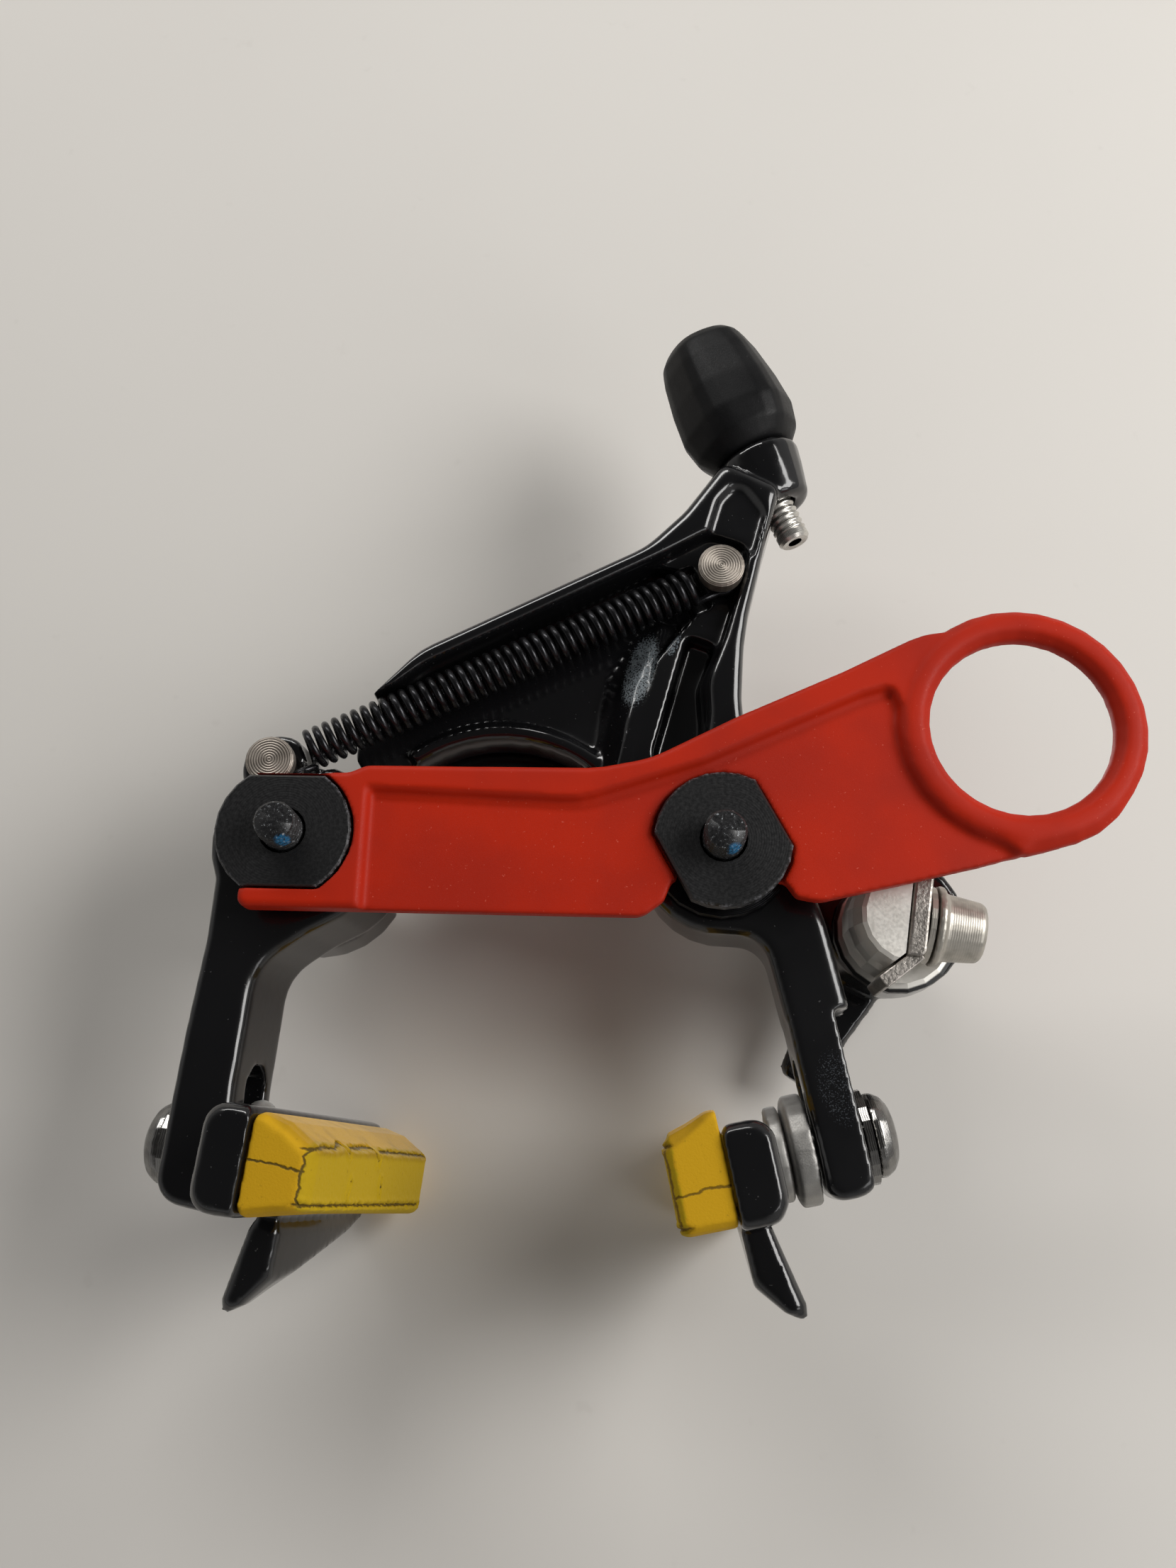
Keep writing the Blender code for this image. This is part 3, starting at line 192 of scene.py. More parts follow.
class Bench(Graph):
    """One node material in the making: a Principled shader and what feeds it."""

    def __init__(self, name: str) -> None:
        """Starts the material with its shader wired to the output.

        Args:
            name: The material's name.
        """
        self.material = bpy.data.materials.new(name)
        self.material.use_nodes = True
        super().__init__(self.material.node_tree)
        self.tree.nodes.clear()
        self.shader = self.node("BsdfPrincipled", {})
        self.output = self.node("OutputMaterial", {"Surface": self.shader.outputs[0]})
        self.place = self.add("TexCoord", {}, "Object")

    def vector(self, operation: str, first: object, second: object = (0, 0, 0), out: str = "Vector"):
        """A Vector Math node on one or two vectors."""
        return self.add("VectorMath", {0: first, 1: second}, out, operation=operation)

    def noise(self, size: float, detail: float = 2.0, place: object = None, rough: float = 0.5):
        """Noise whose largest features are about that many metres across, from 0 to 1."""
        inputs = {
            "Vector": place or self.place,
            "Scale": 1.0 / size,
            "Detail": detail,
            "Roughness": rough,
        }
        return self.add("TexNoise", inputs)

    def span(self, value: object, low: float, high: float, start: float = 0.0, end: float = 1.0):
        """A value carried smoothly from one range to another, and held at its ends."""
        inputs = {"Value": value, 1: low, 2: high, 3: start, 4: end}
        return self.add("MapRange", inputs, interpolation_type="SMOOTHSTEP")

    def mix(self, share: object, first: object, second: object):
        """Two colours mixed by a share from 0 to 1."""
        return self.add("Mix", {0: share, 6: first, 7: second}, 2, data_type="RGBA")

    def bump(self, height: object, depth: float, under: object = None):
        """A surface normal raised by a height from 0 to 1, that many metres deep."""
        inputs = {"Height": height, "Distance": depth, "Strength": 1.0}
        if under is not None:
            inputs["Normal"] = under
        return self.add("Bump", inputs)

    def shine(self, **inputs: object) -> bpy.types.Material:
        """Fills the shader's inputs, whose names are spelt with underscores.

        Returns:
            The finished material.
        """
        for key, value in inputs.items():
            self.feed(self.shader.inputs[key.replace("_", " ")], value)
        return self.material

    def spot(self, centre: Point, radii: Point, turn: Point = (0, 0, 0)):
        """Distance from a place, counted in its own radii: 1 on that ellipsoid.

        Args:
            centre: The place in the model.
            radii: Reach along its three axes.
            turn: Its turn as Euler angles in degrees.

        Returns:
            The distance as a socket.
        """
        angles = tuple(math.radians(a) for a in turn)
        inputs = {"Vector": self.place, "Location": centre, "Rotation": angles, "Scale": radii}
        local = self.add("Mapping", inputs, vector_type="TEXTURE")
        return self.vector("LENGTH", local, out="Value")

    def to_segments(self, place: object, pairs: Sequence[tuple[Vector, Vector]]):
        """Distance to the nearest of some line pieces.

        Args:
            place: A position socket.
            pairs: Both ends of each piece, in the position's own units.

        Returns:
            The distance as a socket.
        """
        nearest = 1000.0
        for first, last in pairs:
            run = last - first
            offset = self.vector("SUBTRACT", place, tuple(first))
            share = self.vector("DOT_PRODUCT", offset, tuple(run / run.length_squared), out="Value")
            share = self.math("ADD", share, 0.0, clamp=True)
            step = self.add("VectorMath", {0: tuple(run), "Scale": share}, operation="SCALE")
            gap = self.vector("DISTANCE", offset, step, out="Value")
            nearest = self.math("MINIMUM", gap, nearest)
        return nearest

    def off_axis(self, point: Point, axis: Point):
        """Distance from a line through a point, in metres."""
        offset = self.vector("SUBTRACT", self.place, point)
        crossed = self.vector("CROSS_PRODUCT", offset, tuple(Vector(axis).normalized()))
        return self.vector("LENGTH", crossed, out="Value")

    def along_axis(self, point: Point, axis: Point):
        """Place along a line from a point on it, in metres."""
        offset = self.vector("SUBTRACT", self.place, point)
        return self.vector("DOT_PRODUCT", offset, tuple(Vector(axis).normalized()), out="Value")


@dataclass(frozen=True)
class Tear:
    """Lines torn into a pad, in millimetres in the pad set's own axes.

    Each line runs over points on one plane. Flat is the axis square to that plane, 0 for
    the braking face and 1 for the near end, and level is where the plane lies on it.
    """

    lines: tuple[tuple[tuple[float, float], ...], ...]
    flat: int
    level: float

    def segments(self) -> list[tuple[Vector, Vector]]:
        """All pieces of the lines, as pairs of points."""
        pairs = []
        for line in self.lines:
            points = [self.lift(*point) for point in line]
            pairs += zip(points, points[1:])
        return pairs

    def lift(self, first: float, second: float) -> Vector:
        """A point of the plane, with the third number left at nought."""
        if self.flat == 0:
            return Vector((0.0, first, second))
        return Vector((first, 0.0, second))


@dataclass(frozen=True)
class Scuff:
    """A patch of worn paint, which on the right arm's leg also carries a painted bluish reflection: where it
    is, how far it reaches and how dense it is.
    """

    centre: Point
    radii: Point
    turn: Point = (0, 0, 0)
    density: float = 0.5
    colour: Colour = (0.13, 0.155, 0.175)


@dataclass(frozen=True)
class BlackEnamel:
    """Gloss black paint over a forging, with dust, faint ripples and its patches of worn paint, one of them
    with a painted bluish reflection.
    """

    name: str
    scuffs: tuple[Scuff, ...] = ()
    colour: Colour = (0.0050, 0.0050, 0.0056)
    grain: float = 0.26 * MM

    def material(self) -> bpy.types.Material:
        """Builds the paint."""
        bench = Bench(self.name)
        cloud = bench.noise(14 * MM, 3)
        roughness = bench.span(cloud, 0.3, 0.7, 0.11, 0.22)
        speck = bench.span(bench.noise(0.5 * MM, 1), 0.74, 0.78)
        colour = bench.mix(speck, self.colour, (0.05, 0.05, 0.05))
        # Patches of worn paint; the one on the right arm's leg also paints a bluish reflection into the
        # colour.
        for patch in self.scuffs:
            reach = bench.spot(patch.centre, patch.radii, patch.turn)
            fade = bench.span(reach, 0.35, 1.0, 1.0, 0.0)
            grain = bench.noise(self.grain, 4, rough=0.7)
            level = bench.math("SUBTRACT", grain, bench.span(fade, 0, 1, 0.75, 0.62 - 0.2 * patch.density))
            share = bench.math("MULTIPLY", bench.span(level, 0.0, 0.08), fade, clamp=True)
            colour = bench.mix(share, colour, patch.colour)
            roughness = bench.math("ADD", roughness, bench.math("MULTIPLY", share, 0.35))
        ripple = bench.noise(1.6 * MM, 2)
        return bench.shine(
            Base_Color=colour,
            Roughness=roughness,
            Normal=bench.bump(ripple, 0.012 * MM),
            IOR=1.5,
            Coat_Weight=0.25,
            Coat_Roughness=0.05,
        )


@dataclass(frozen=True)
class MattMoulding:
    """Matt injection moulded plastic with a fine spark grain and faint flow marks."""

    name: str
    colour: Colour = (0.42, 0.016, 0.002)
    deep: Colour = (0.33, 0.014, 0.004)

    def material(self) -> bpy.types.Material:
        """Builds the moulding."""
        bench = Bench(self.name)
        flow = bench.span(bench.noise(18 * MM, 4), 0.35, 0.7)
        fine = bench.noise(0.16 * MM, 2)
        dust = bench.span(bench.noise(0.42 * MM, 1), 0.74, 0.79, 0.0, 0.45)
        colour = bench.mix(flow, self.colour, self.deep)
        return bench.shine(
            Base_Color=bench.mix(dust, colour, (0.62, 0.12, 0.08)),
            Roughness=bench.span(fine, 0.3, 0.7, 0.46, 0.62),
            Specular_IOR_Level=0.16,
            Normal=bench.bump(fine, 0.012 * MM),
        )


@dataclass(frozen=True)
class PlainMetal:
    """Metal with a fine tooth: blasted, rumbled, drawn or polished by its numbers."""

    name: str
    colour: Colour
    deep: Colour
    rough: tuple[float, float]
    grain: float = 0.2 * MM
    depth: float = 0.006 * MM
    metallic: float = 1.0
    black_from: float = 1.0

    def material(self) -> bpy.types.Material:
        """Builds the metal, which is painted black from a depth along Y onwards."""
        bench = Bench(self.name)
        cloud = bench.span(bench.noise(5 * MM, 4), 0.35, 0.7)
        tooth = bench.noise(self.grain, 3)
        colour, metallic = bench.mix(cloud, self.colour, self.deep), self.metallic
        if self.black_from < 1.0:
            depth = bench.along_axis((0, 0, 0), (0, 1, 0))
            bare = bench.span(depth, self.black_from - 0.05 * MM, self.black_from + 0.05 * MM, 1.0, 0.0)
            colour = bench.mix(bare, (0.006, 0.006, 0.0065), colour)
            metallic = bench.math("MULTIPLY", bare, metallic)
        return bench.shine(
            Base_Color=colour,
            Metallic=metallic,
            Roughness=bench.span(tooth, 0.3, 0.7, *self.rough),
            Normal=bench.bump(tooth, self.depth),
        )


@dataclass(frozen=True)
class TurnedMetal:
    """Metal from the lathe, with fine rings round its axis."""

    name: str
    point: Point
    axis: Point
    colour: Colour
    deep: Colour
    rough: tuple[float, float]
    feed: float = 0.24 * MM
    depth: float = 0.02 * MM
    metallic: float = 1.0
    # Share by which painted shade darkens the turning grooves.
    groove: float = 0.0
    # Radius of the bore, painted black as painted shade in the hole.
    bore: float = 0.0

    def material(self) -> bpy.types.Material:
        """Builds the metal. Its rings are darkened by painted shade in the turning grooves, by the groove's
        share, and its bore is painted black as painted shade in the hole.
        """
        bench = Bench(self.name)
        radius = bench.off_axis(self.point, self.axis)
        along = bench.along_axis(self.point, self.axis)
        reach = bench.math("ADD", radius, along)
        wave = bench.math("SINE", bench.math("MULTIPLY", reach, 2 * math.pi / self.feed))
        ring = bench.span(wave, -1.0, 1.0)
        stain = bench.span(bench.noise(1.8 * MM, 4), 0.42, 0.75)
        colour = bench.mix(stain, self.colour, self.deep)
        # Painted shade: the turning grooves are darkened in the colour.
        if self.groove:
            line = bench.span(wave, -1.0, -0.35, self.groove, 0.0)
            colour = bench.mix(line, colour, (0.03, 0.025, 0.02))
        # Painted shade: the bore's floor is painted black for the dark hole.
        if self.bore:
            colour = bench.mix(bench.span(radius, 0.96 * self.bore, self.bore, 1.0, 0.0), colour, (0, 0, 0))
        return bench.shine(
            Base_Color=colour,
            Metallic=self.metallic,
            Roughness=bench.span(ring, 0.0, 1.0, *self.rough),
            Normal=bench.bump(ring, self.depth),
        )


@dataclass(frozen=True)
class SatinWasher:
    """Satin black washer face with faint rings and an edge that is rubbed paler."""

    name: str
    point: Point
    axis: Point = (0, 1, 0)
    edge: float = 9.7 * MM

    def material(self) -> bpy.types.Material:
        """Builds the coating."""
        bench = Bench(self.name)
        radius = bench.off_axis(self.point, self.axis)
        wave = bench.math("SINE", bench.math("MULTIPLY", radius, 2 * math.pi / (0.35 * MM)))
        grain = bench.noise(0.5 * MM, 4, rough=0.65)
        rub = bench.math(
            "MULTIPLY",
            bench.span(radius, self.edge - 0.55 * MM, self.edge),
            bench.span(grain, 0.46, 0.62),
        )
        mark = bench.span(bench.noise(1.6 * MM, 5, rough=0.7), 0.62, 0.76, 0.0, 0.4)
        colour = bench.mix(mark, (0.0075, 0.0075, 0.008), (0.035, 0.036, 0.038))
        colour = bench.mix(rub, colour, (0.10, 0.10, 0.11))
        relief = bench.math("ADD", bench.math("MULTIPLY", wave, 0.25), grain)
        return bench.shine(
            Base_Color=colour,
            Roughness=bench.span(grain, 0.3, 0.7, 0.30, 0.46),
            Normal=bench.bump(relief, 0.012 * MM),
        )


@dataclass(frozen=True)
class LockedBolt:
    """Blackened bolt with a smear of blue thread lock and pale flecks."""

    name: str
    point: Point
    smear: Point

    def material(self) -> bpy.types.Material:
        """Builds the finish."""
        bench = Bench(self.name)
        grain = bench.noise(0.45 * MM, 4, rough=0.7)
        reach = bench.spot(self.smear, mm(1.3, 2.6, 0.9))
        smear = bench.math("MULTIPLY", bench.span(reach, 0.6, 1.1, 1.0, 0.0), bench.span(grain, 0.38, 0.5))
        along = bench.along_axis(self.point, (0, 1, 0))
        fleck = bench.math(
            "MULTIPLY", bench.span(grain, 0.60, 0.66), bench.span(along, -6 * MM, 0.5 * MM, 1.0, 0.35)
        )
        colour = bench.mix(bench.span(grain, 0.3, 0.7), (0.010, 0.010, 0.011), (0.022, 0.022, 0.023))
        colour = bench.mix(smear, colour, (0.008, 0.11, 0.24))
        colour = bench.mix(fleck, colour, (0.34, 0.36, 0.38))
        return bench.shine(
            Base_Color=colour,
            Metallic=0.25,
            Roughness=bench.span(grain, 0.3, 0.7, 0.26, 0.5),
            Normal=bench.bump(grain, 0.03 * MM),
        )


@dataclass(frozen=True)
class MouldedRubber:
    """Matt moulded rubber with a fine skin."""

    name: str
    colour: Colour
    deep: Colour
    rough: tuple[float, float] = (0.5, 0.66)
    depth: float = 0.02 * MM
    gloss: float = 0.4

    def material(self) -> bpy.types.Material:
        """Builds the rubber."""
        bench = Bench(self.name)
        cloud = bench.span(bench.noise(7 * MM, 4), 0.35, 0.7)
        skin = bench.noise(0.22 * MM, 3, rough=0.6)
        dust = bench.span(bench.noise(0.7 * MM, 2), 0.70, 0.78, 0.0, 0.3)
        colour = bench.mix(cloud, self.colour, self.deep)
        pale = tuple(min(1.0, 2.2 * c + 0.02) for c in self.colour)
        return bench.shine(
            Base_Color=bench.mix(dust, colour, pale),
            Roughness=bench.span(skin, 0.3, 0.7, *self.rough),
            Specular_IOR_Level=self.gloss,
            Normal=bench.bump(skin, self.depth),
        )


@dataclass(frozen=True)
class WornPadRubber:
    """Yellow pad rubber whose braking face is torn, with dark split lines, dirt, and painted shade over its
    top slope.

    Attributes:
        place: The pad set's own axes, in which the rest is in millimetres.
        tears: The split lines.
        top: Height of the film's upper border, over which the rubber is darkened as painted shade.
        stray: How far a line wanders off its points.
        fray: How far the film's edge wanders.
        width: Half width of a line where it is full, and where it has ended.
        depth: How far off its plane a line starts to fade, and where it has ended.
    """

    name: str
    place: Matrix
    tears: tuple[Tear, ...]
    top: float
    stray: float = 0.6
    fray: float = 1.1
    width: tuple[float, float] = (0.04, 0.24)
    depth: tuple[float, float] = (1.4, 2.2)
    film: Colour = (0.43, 0.285, 0.009)
    body: Colour = (0.53, 0.30, 0.010)
    # The darker brown, used both for dirt and for the painted shade on the top slope.
    stain: Colour = (0.24, 0.135, 0.008)
    split: Colour = (0.10, 0.065, 0.012)

    def material(self) -> bpy.types.Material:
        """Builds the rubber."""
        bench = Bench(self.name)
        local = bench.add("Mapping", {
            "Vector": bench.place, "Location": tuple(self.place.translation),
            "Rotation": tuple(self.place.to_euler()), "Scale": (MM, MM, MM),
        }, vector_type="TEXTURE")
        apart = bench.node("SeparateXYZ", {0: local})
        across, height = apart.outputs["X"], apart.outputs["Z"]
        tooth = bench.noise(0.3 * MM, 4, rough=0.65)
        wander = bench.add("TexNoise", {"Vector": bench.place, "Scale": 1.0 / (0.9 * MM), "Detail": 3.0}, 1)
        drift = bench.vector("SUBTRACT", wander, (0.5, 0.5, 0.5))
        drift = bench.vector("MULTIPLY", drift, (self.stray, self.stray, self.stray))
        moved = bench.vector("ADD", local, drift)
        level = self.tears[0].level
        frayed = bench.math("ADD", across, bench.math("MULTIPLY", bench.noise(1.2 * MM, 3), self.fray))
        face = bench.span(frayed, level - 0.65, level - 0.35)
        colour = bench.mix(face, self.body, self.film)
        cloud = bench.span(bench.noise(4 * MM, 3), 0.45, 0.75, 0.0, 0.6)
        # Painted shade: the top slope above the film's border is mixed towards the darker brown.
        lean = 0.55
        above = bench.math("ADD", height, bench.math("MULTIPLY", across, lean))
        border = lean * (level - 1.2) + self.top
        slope = bench.span(above, border - 0.9, border, 0.0, 0.45)
        slope = bench.math("ADD", slope, bench.math("MULTIPLY", slope, cloud))
        colour = bench.mix(slope, colour, self.stain)
        dirt = bench.span(bench.noise(0.8 * MM, 3), 0.66, 0.76, 0.0, 0.5)
        colour = bench.mix(dirt, colour, self.stain)
        relief = tooth
        for tear in self.tears:
            axes = (0, 1, 1) if tear.flat == 0 else (1, 0, 1)
            gap = bench.to_segments(bench.vector("MULTIPLY", moved, axes), tear.segments())
            off = bench.math("ABSOLUTE", bench.math("SUBTRACT", apart.outputs[tear.flat], tear.level))
            near = bench.span(off, *self.depth, 1.0, 0.0)
            line = bench.math("MULTIPLY", bench.span(gap, *self.width, 1.0, 0.0), near)
            colour = bench.mix(line, colour, self.split)
            relief = bench.math("SUBTRACT", relief, bench.math("MULTIPLY", line, 2.0))
        return bench.shine(
            Base_Color=colour,
            Roughness=bench.span(tooth, 0.3, 0.7, 0.66, 0.84),
            Specular_IOR_Level=0.1,
            Normal=bench.bump(relief, 0.05 * MM),
        )


@dataclass(frozen=True)
class PaleSurface:
    """The table under the brake, with faint marks, and clear from its far side."""

    name: str
    colour: Colour = (0.655, 0.63, 0.595)

    def material(self) -> bpy.types.Material:
        """Builds the surface."""
        bench = Bench(self.name)
        mark = bench.span(bench.noise(6 * MM, 3), 0.70, 0.80, 0.0, 0.10)
        cloud = bench.span(bench.noise(120 * MM, 3), 0.3, 0.7, 0.0, 0.06)
        colour = bench.mix(bench.math("ADD", mark, cloud), self.colour, (0.42, 0.39, 0.36))
        path = bench.node("LightPath", {}).outputs
        seen = bench.math("MAXIMUM", path["Is Camera Ray"], path["Is Glossy Ray"])
        seen = bench.math("MAXIMUM", seen, path["Is Transmission Ray"])
        front = bench.math("SUBTRACT", 1.0, bench.add("NewGeometry", {}, "Backfacing"))
        shown = bench.math("MULTIPLY", seen, front)
        clear = bench.add("BsdfTransparent", {})
        pick = bench.add("MixShader", {0: shown, 1: clear, 2: bench.shader.outputs[0]})
        bench.feed(bench.output.inputs["Surface"], pick)
        return bench.shine(Base_Color=colour, Roughness=0.75, Specular_IOR_Level=0.2)


def dress(material: bpy.types.Material, *nodes: str) -> None:
    """Gives CAD nodes a finish.

    Args:
        material: The finish.
        *nodes: Names of the nodes.
    """
    for name in nodes:
        data = frame["nodes"][name].data
        data.materials.clear()
        data.materials.append(material)
        LOG.info("%s wears %s", name, material.name)


def new_piece(name: str, data: bpy.types.Mesh, finish: bpy.types.Material) -> bpy.types.Object:
    """Puts a finished mesh into the scene as a piece.

    Args:
        name: The piece's name.
        data: Its mesh, already in place.
        finish: Its material.

    Returns:
        The piece, with its object at the origin.
    """
    data.name = name
    data.materials.clear()
    data.materials.append(finish)
    piece = bpy.data.objects.new(name, data)
    bpy.context.scene.collection.objects.link(piece)
    LOG.info("%s: %d faces", name, len(data.polygons))
    return piece


def node_group(name: str, source: str, numbers: dict[str, float]) -> Graph:
    """Starts a Geometry Nodes tree.

    Args:
        name: The tree's name.
        source: Label of the geometry that it is given.
        numbers: Its number inputs by label, with their values.

    Returns:
        The tree, with no nodes yet.
    """
    tree = bpy.data.node_groups.new(name, "GeometryNodeTree")
    face = tree.interface
    face.new_socket(source, in_out="INPUT", socket_type="NodeSocketGeometry")
    for label, number in numbers.items():
        kind = "NodeSocketInt" if isinstance(number, int) else "NodeSocketFloat"
        face.new_socket(label, in_out="INPUT", socket_type=kind).default_value = number
    face.new_socket("Mesh", in_out="OUTPUT", socket_type="NodeSocketGeometry")
    return Graph(tree)


def painted(graph: Graph, geometry: bpy.types.NodeSocket, finish: bpy.types.Material) -> bpy.types.NodeTree:
    """Ends a Geometry Nodes tree with a plain mesh in one material.

    Args:
        graph: The tree.
        geometry: What it has made.
        finish: The material.

    Returns:
        The finished tree.
    """
    real = graph.add("GeometryNodeRealizeInstances", {"Geometry": geometry})
    paint = graph.add("GeometryNodeSetMaterial", {"Geometry": real, "Material": finish})
    graph.node("NodeGroupOutput", {"Mesh": paint})
    return graph.tree


@dataclass(frozen=True)
class Pipe:
    """Geometry Nodes that draw a round wire along a path."""

    radius: float
    sides: int = 12

    def tree(self, finish: bpy.types.Material) -> bpy.types.NodeTree:
        """Builds the node tree.

        Args:
            finish: The wire's material.

        Returns:
            The tree, with the wire's radius and its sides as inputs.
        """
        numbers = {"Wire Radius": self.radius, "Sides": self.sides}
        graph = node_group("wire_on_path", "Path", numbers)
        given = graph.node("NodeGroupInput", {}).outputs
        ring = graph.add("GeometryNodeCurvePrimitiveCircle", {
            "Radius": given["Wire Radius"], "Resolution": given["Sides"],
        })
        sweep = graph.add("GeometryNodeCurveToMesh", {
            "Curve": given["Path"], "Profile Curve": ring, "Fill Caps": True,
        })
        smooth = graph.add("GeometryNodeSetShadeSmooth", {"Geometry": sweep})
        return painted(graph, smooth, finish)

    def mesh(self, points: Sequence[Point], finish: bpy.types.Material) -> bpy.types.Mesh:
        """Draws the wire.

        Args:
            points: The path, in metres.
            finish: The wire's material.

        Returns:
            A plain closed mesh.
        """
        path = bpy.data.curves.new("path", "CURVE")
        path.dimensions = "3D"
        path.twist_mode = "MINIMUM"
        spline = path.splines.new("POLY")
        spline.points.add(len(points) - 1)
        for control, point in zip(spline.points, points):
            control.co = (*point, 1.0)
        return evaluated(bpy.data.objects.new("path", path), self.tree(finish))


@dataclass(frozen=True)
class Thread:
    """Geometry Nodes that roll a plain grid into a threaded end."""

    radius: float
    length: float
    pitch: float = 1.0 * MM
    depth: float = 0.5 * MM
    around: int = 36
    rows_per_turn: int = 10
    chamfer: float = 0.6 * MM

    def tree(self, finish: bpy.types.Material) -> bpy.types.NodeTree:
        """Builds the node tree.

        Args:
            finish: The thread's material.

        Returns:
            The tree, with radius, depth, pitch and length as inputs.
        """
        numbers = {"Radius": self.radius, "Depth": self.depth, "Pitch": self.pitch, "Length": self.length}
        graph = node_group("rolled_thread", "Geometry", numbers)
        given = graph.node("NodeGroupInput", {}).outputs
        value = graph.math
        rows = math.ceil(self.length / self.pitch * self.rows_per_turn)
        sizes = {"Size X": 1.0, "Size Y": 1.0, "Vertices X": self.around + 1, "Vertices Y": rows}
        grid = graph.add("GeometryNodeMeshGrid", sizes)
        apart = graph.node("SeparateXYZ", {0: graph.add("GeometryNodeInputPosition", {})})
        turn = value("ADD", apart.outputs["X"], 0.5)
        share = value("ADD", apart.outputs["Y"], 0.5)
        height = value("MULTIPLY", share, given["Length"])
        phase = value("FRACT", value("SUBTRACT", value("DIVIDE", height, given["Pitch"]), turn))
        flank = value("ABSOLUTE", value("SUBTRACT", value("MULTIPLY", phase, 2.0), 1.0))
        lead = value("MINIMUM", share, value("SUBTRACT", 1.0, share))
        chamfer = value("MINIMUM", value("MULTIPLY", lead, self.length / self.chamfer), 1.0)
        root = value("SUBTRACT", given["Radius"], given["Depth"])
        crest = value("MULTIPLY", given["Depth"], value("MULTIPLY", flank, chamfer))
        closed = value("GREATER_THAN", lead, 0.2 / rows)
        reach = value("MULTIPLY", value("ADD", root, crest), closed)
        angle = value("MULTIPLY", turn, 2 * math.pi)
        place = graph.add("CombineXYZ", {
            "X": value("MULTIPLY", reach, value("COSINE", angle)),
            "Y": value("MULTIPLY", reach, value("SINE", angle)),
            "Z": height,
        })
        shaped = graph.add("GeometryNodeSetPosition", {"Geometry": grid, "Position": place})
        merged = graph.add("GeometryNodeMergeByDistance", {"Geometry": shaped, "Distance": 0.001 * MM})
        return painted(graph, merged, finish)

    def mesh(self, finish: bpy.types.Material) -> bpy.types.Mesh:
        """Rolls the thread up along +Z from the origin.

        Args:
            finish: The thread's material.

        Returns:
            A plain closed mesh with outward faces.
        """
        seed = bpy.data.objects.new("blank", bpy.data.meshes.new("blank"))
        data = evaluated(seed, self.tree(finish))
        return outward(data, sharp=70.0)


def evaluated(carrier: bpy.types.Object, tree: bpy.types.NodeTree) -> bpy.types.Mesh:
    """Runs a Geometry Nodes tree on an object and keeps only the mesh.

    Args:
        carrier: A new object that holds the tree's input. It is removed.
        tree: The node tree.

    Returns:
        The result as a plain mesh.
    """
    bpy.context.scene.collection.objects.link(carrier)
    modifier = carrier.modifiers.new("nodes", "NODES")
    modifier.node_group = tree
    for item in tree.interface.items_tree:
        if item.in_out == "INPUT" and hasattr(item, "default_value"):
            modifier[item.identifier] = item.default_value
    return baked(carrier)


def baked(carrier: bpy.types.Object) -> bpy.types.Mesh:
    """Keeps an object's mesh with its modifiers run, and removes the object."""
    graph = bpy.context.evaluated_depsgraph_get()
    data = bpy.data.meshes.new_from_object(carrier.evaluated_get(graph))
    bpy.data.objects.remove(carrier)
    return data


def outward(data: bpy.types.Mesh, sharp: float = 35.0) -> bpy.types.Mesh:
    """Turns all faces outwards and smooths all but the sharp edges.

    Args:
        data: The mesh, changed in place.
        sharp: Edges over this many degrees stay sharp.

    Returns:
        The same mesh.
    """
    work = bmesh.new()
    work.from_mesh(data)
    bmesh.ops.recalc_face_normals(work, faces=work.faces)
    work.to_mesh(data)
    work.free()
    data.shade_smooth()
    data.set_sharp_from_angle(angle=math.radians(sharp))
    return data


def axis_frame(origin: Vector, axis: Vector, side: Vector) -> Matrix:
    """A place whose Z runs along an axis and whose X is nearest to a side.

    Args:
        origin: The place's origin.
        axis: Its Z.
        side: Roughly its X.

    Returns:
        The place as a matrix.
    """
    z = axis.normalized()
    x = (side - z * side.dot(z)).normalized()
    y = z.cross(x)
    return Matrix.Translation(origin) @ Matrix((x, y, z)).transposed().to_4x4()


def ring_points(radius: float, along: float, count: int, hexagon: bool) -> list[Point]:
    """Points round the Z axis, on a circle or on a hexagon of that flat radius."""
    points = []
    for i in range(count):
        angle = 2 * math.pi * i / count
        reach = radius
        if hexagon:
            reach /= math.cos((angle + math.pi / 6) % (math.pi / 3) - math.pi / 6)
        points.append((reach * math.cos(angle), reach * math.sin(angle), along))
    return points


def lathe(profile: Sequence[tuple], count: int = 48, sharp: float = 35.0) -> bpy.types.Mesh:
    """A closed turned solid along +Z.

    Args:
        profile: Rows of radius and place, and True where the row is a hexagon.
        count: Points round each row.
        sharp: Edges over this many degrees stay sharp.

    Returns:
        The mesh.
    """
    work = bmesh.new()
    rings = []
    for row in profile:
        radius, along, *flat = row
        rings.append([work.verts.new(p) for p in ring_points(radius, along, count, bool(flat))])
    work.faces.new(rings[0][::-1])
    work.faces.new(rings[-1])
    for low, high in zip(rings, rings[1:]):
        for i in range(count):
            j = (i + 1) % count
            work.faces.new((low[i], low[j], high[j], high[i]))
    data = bpy.data.meshes.new("turned")
    work.to_mesh(data)
    work.free()
    return outward(data, sharp)


def joined(parts: Sequence[bpy.types.Mesh]) -> bpy.types.Mesh:
    """Several meshes as one, each still closed on its own."""
    work = bmesh.new()
    for data in parts:
        work.from_mesh(data)
    whole = bpy.data.meshes.new("joined")
    work.to_mesh(whole)
    work.free()
    return whole


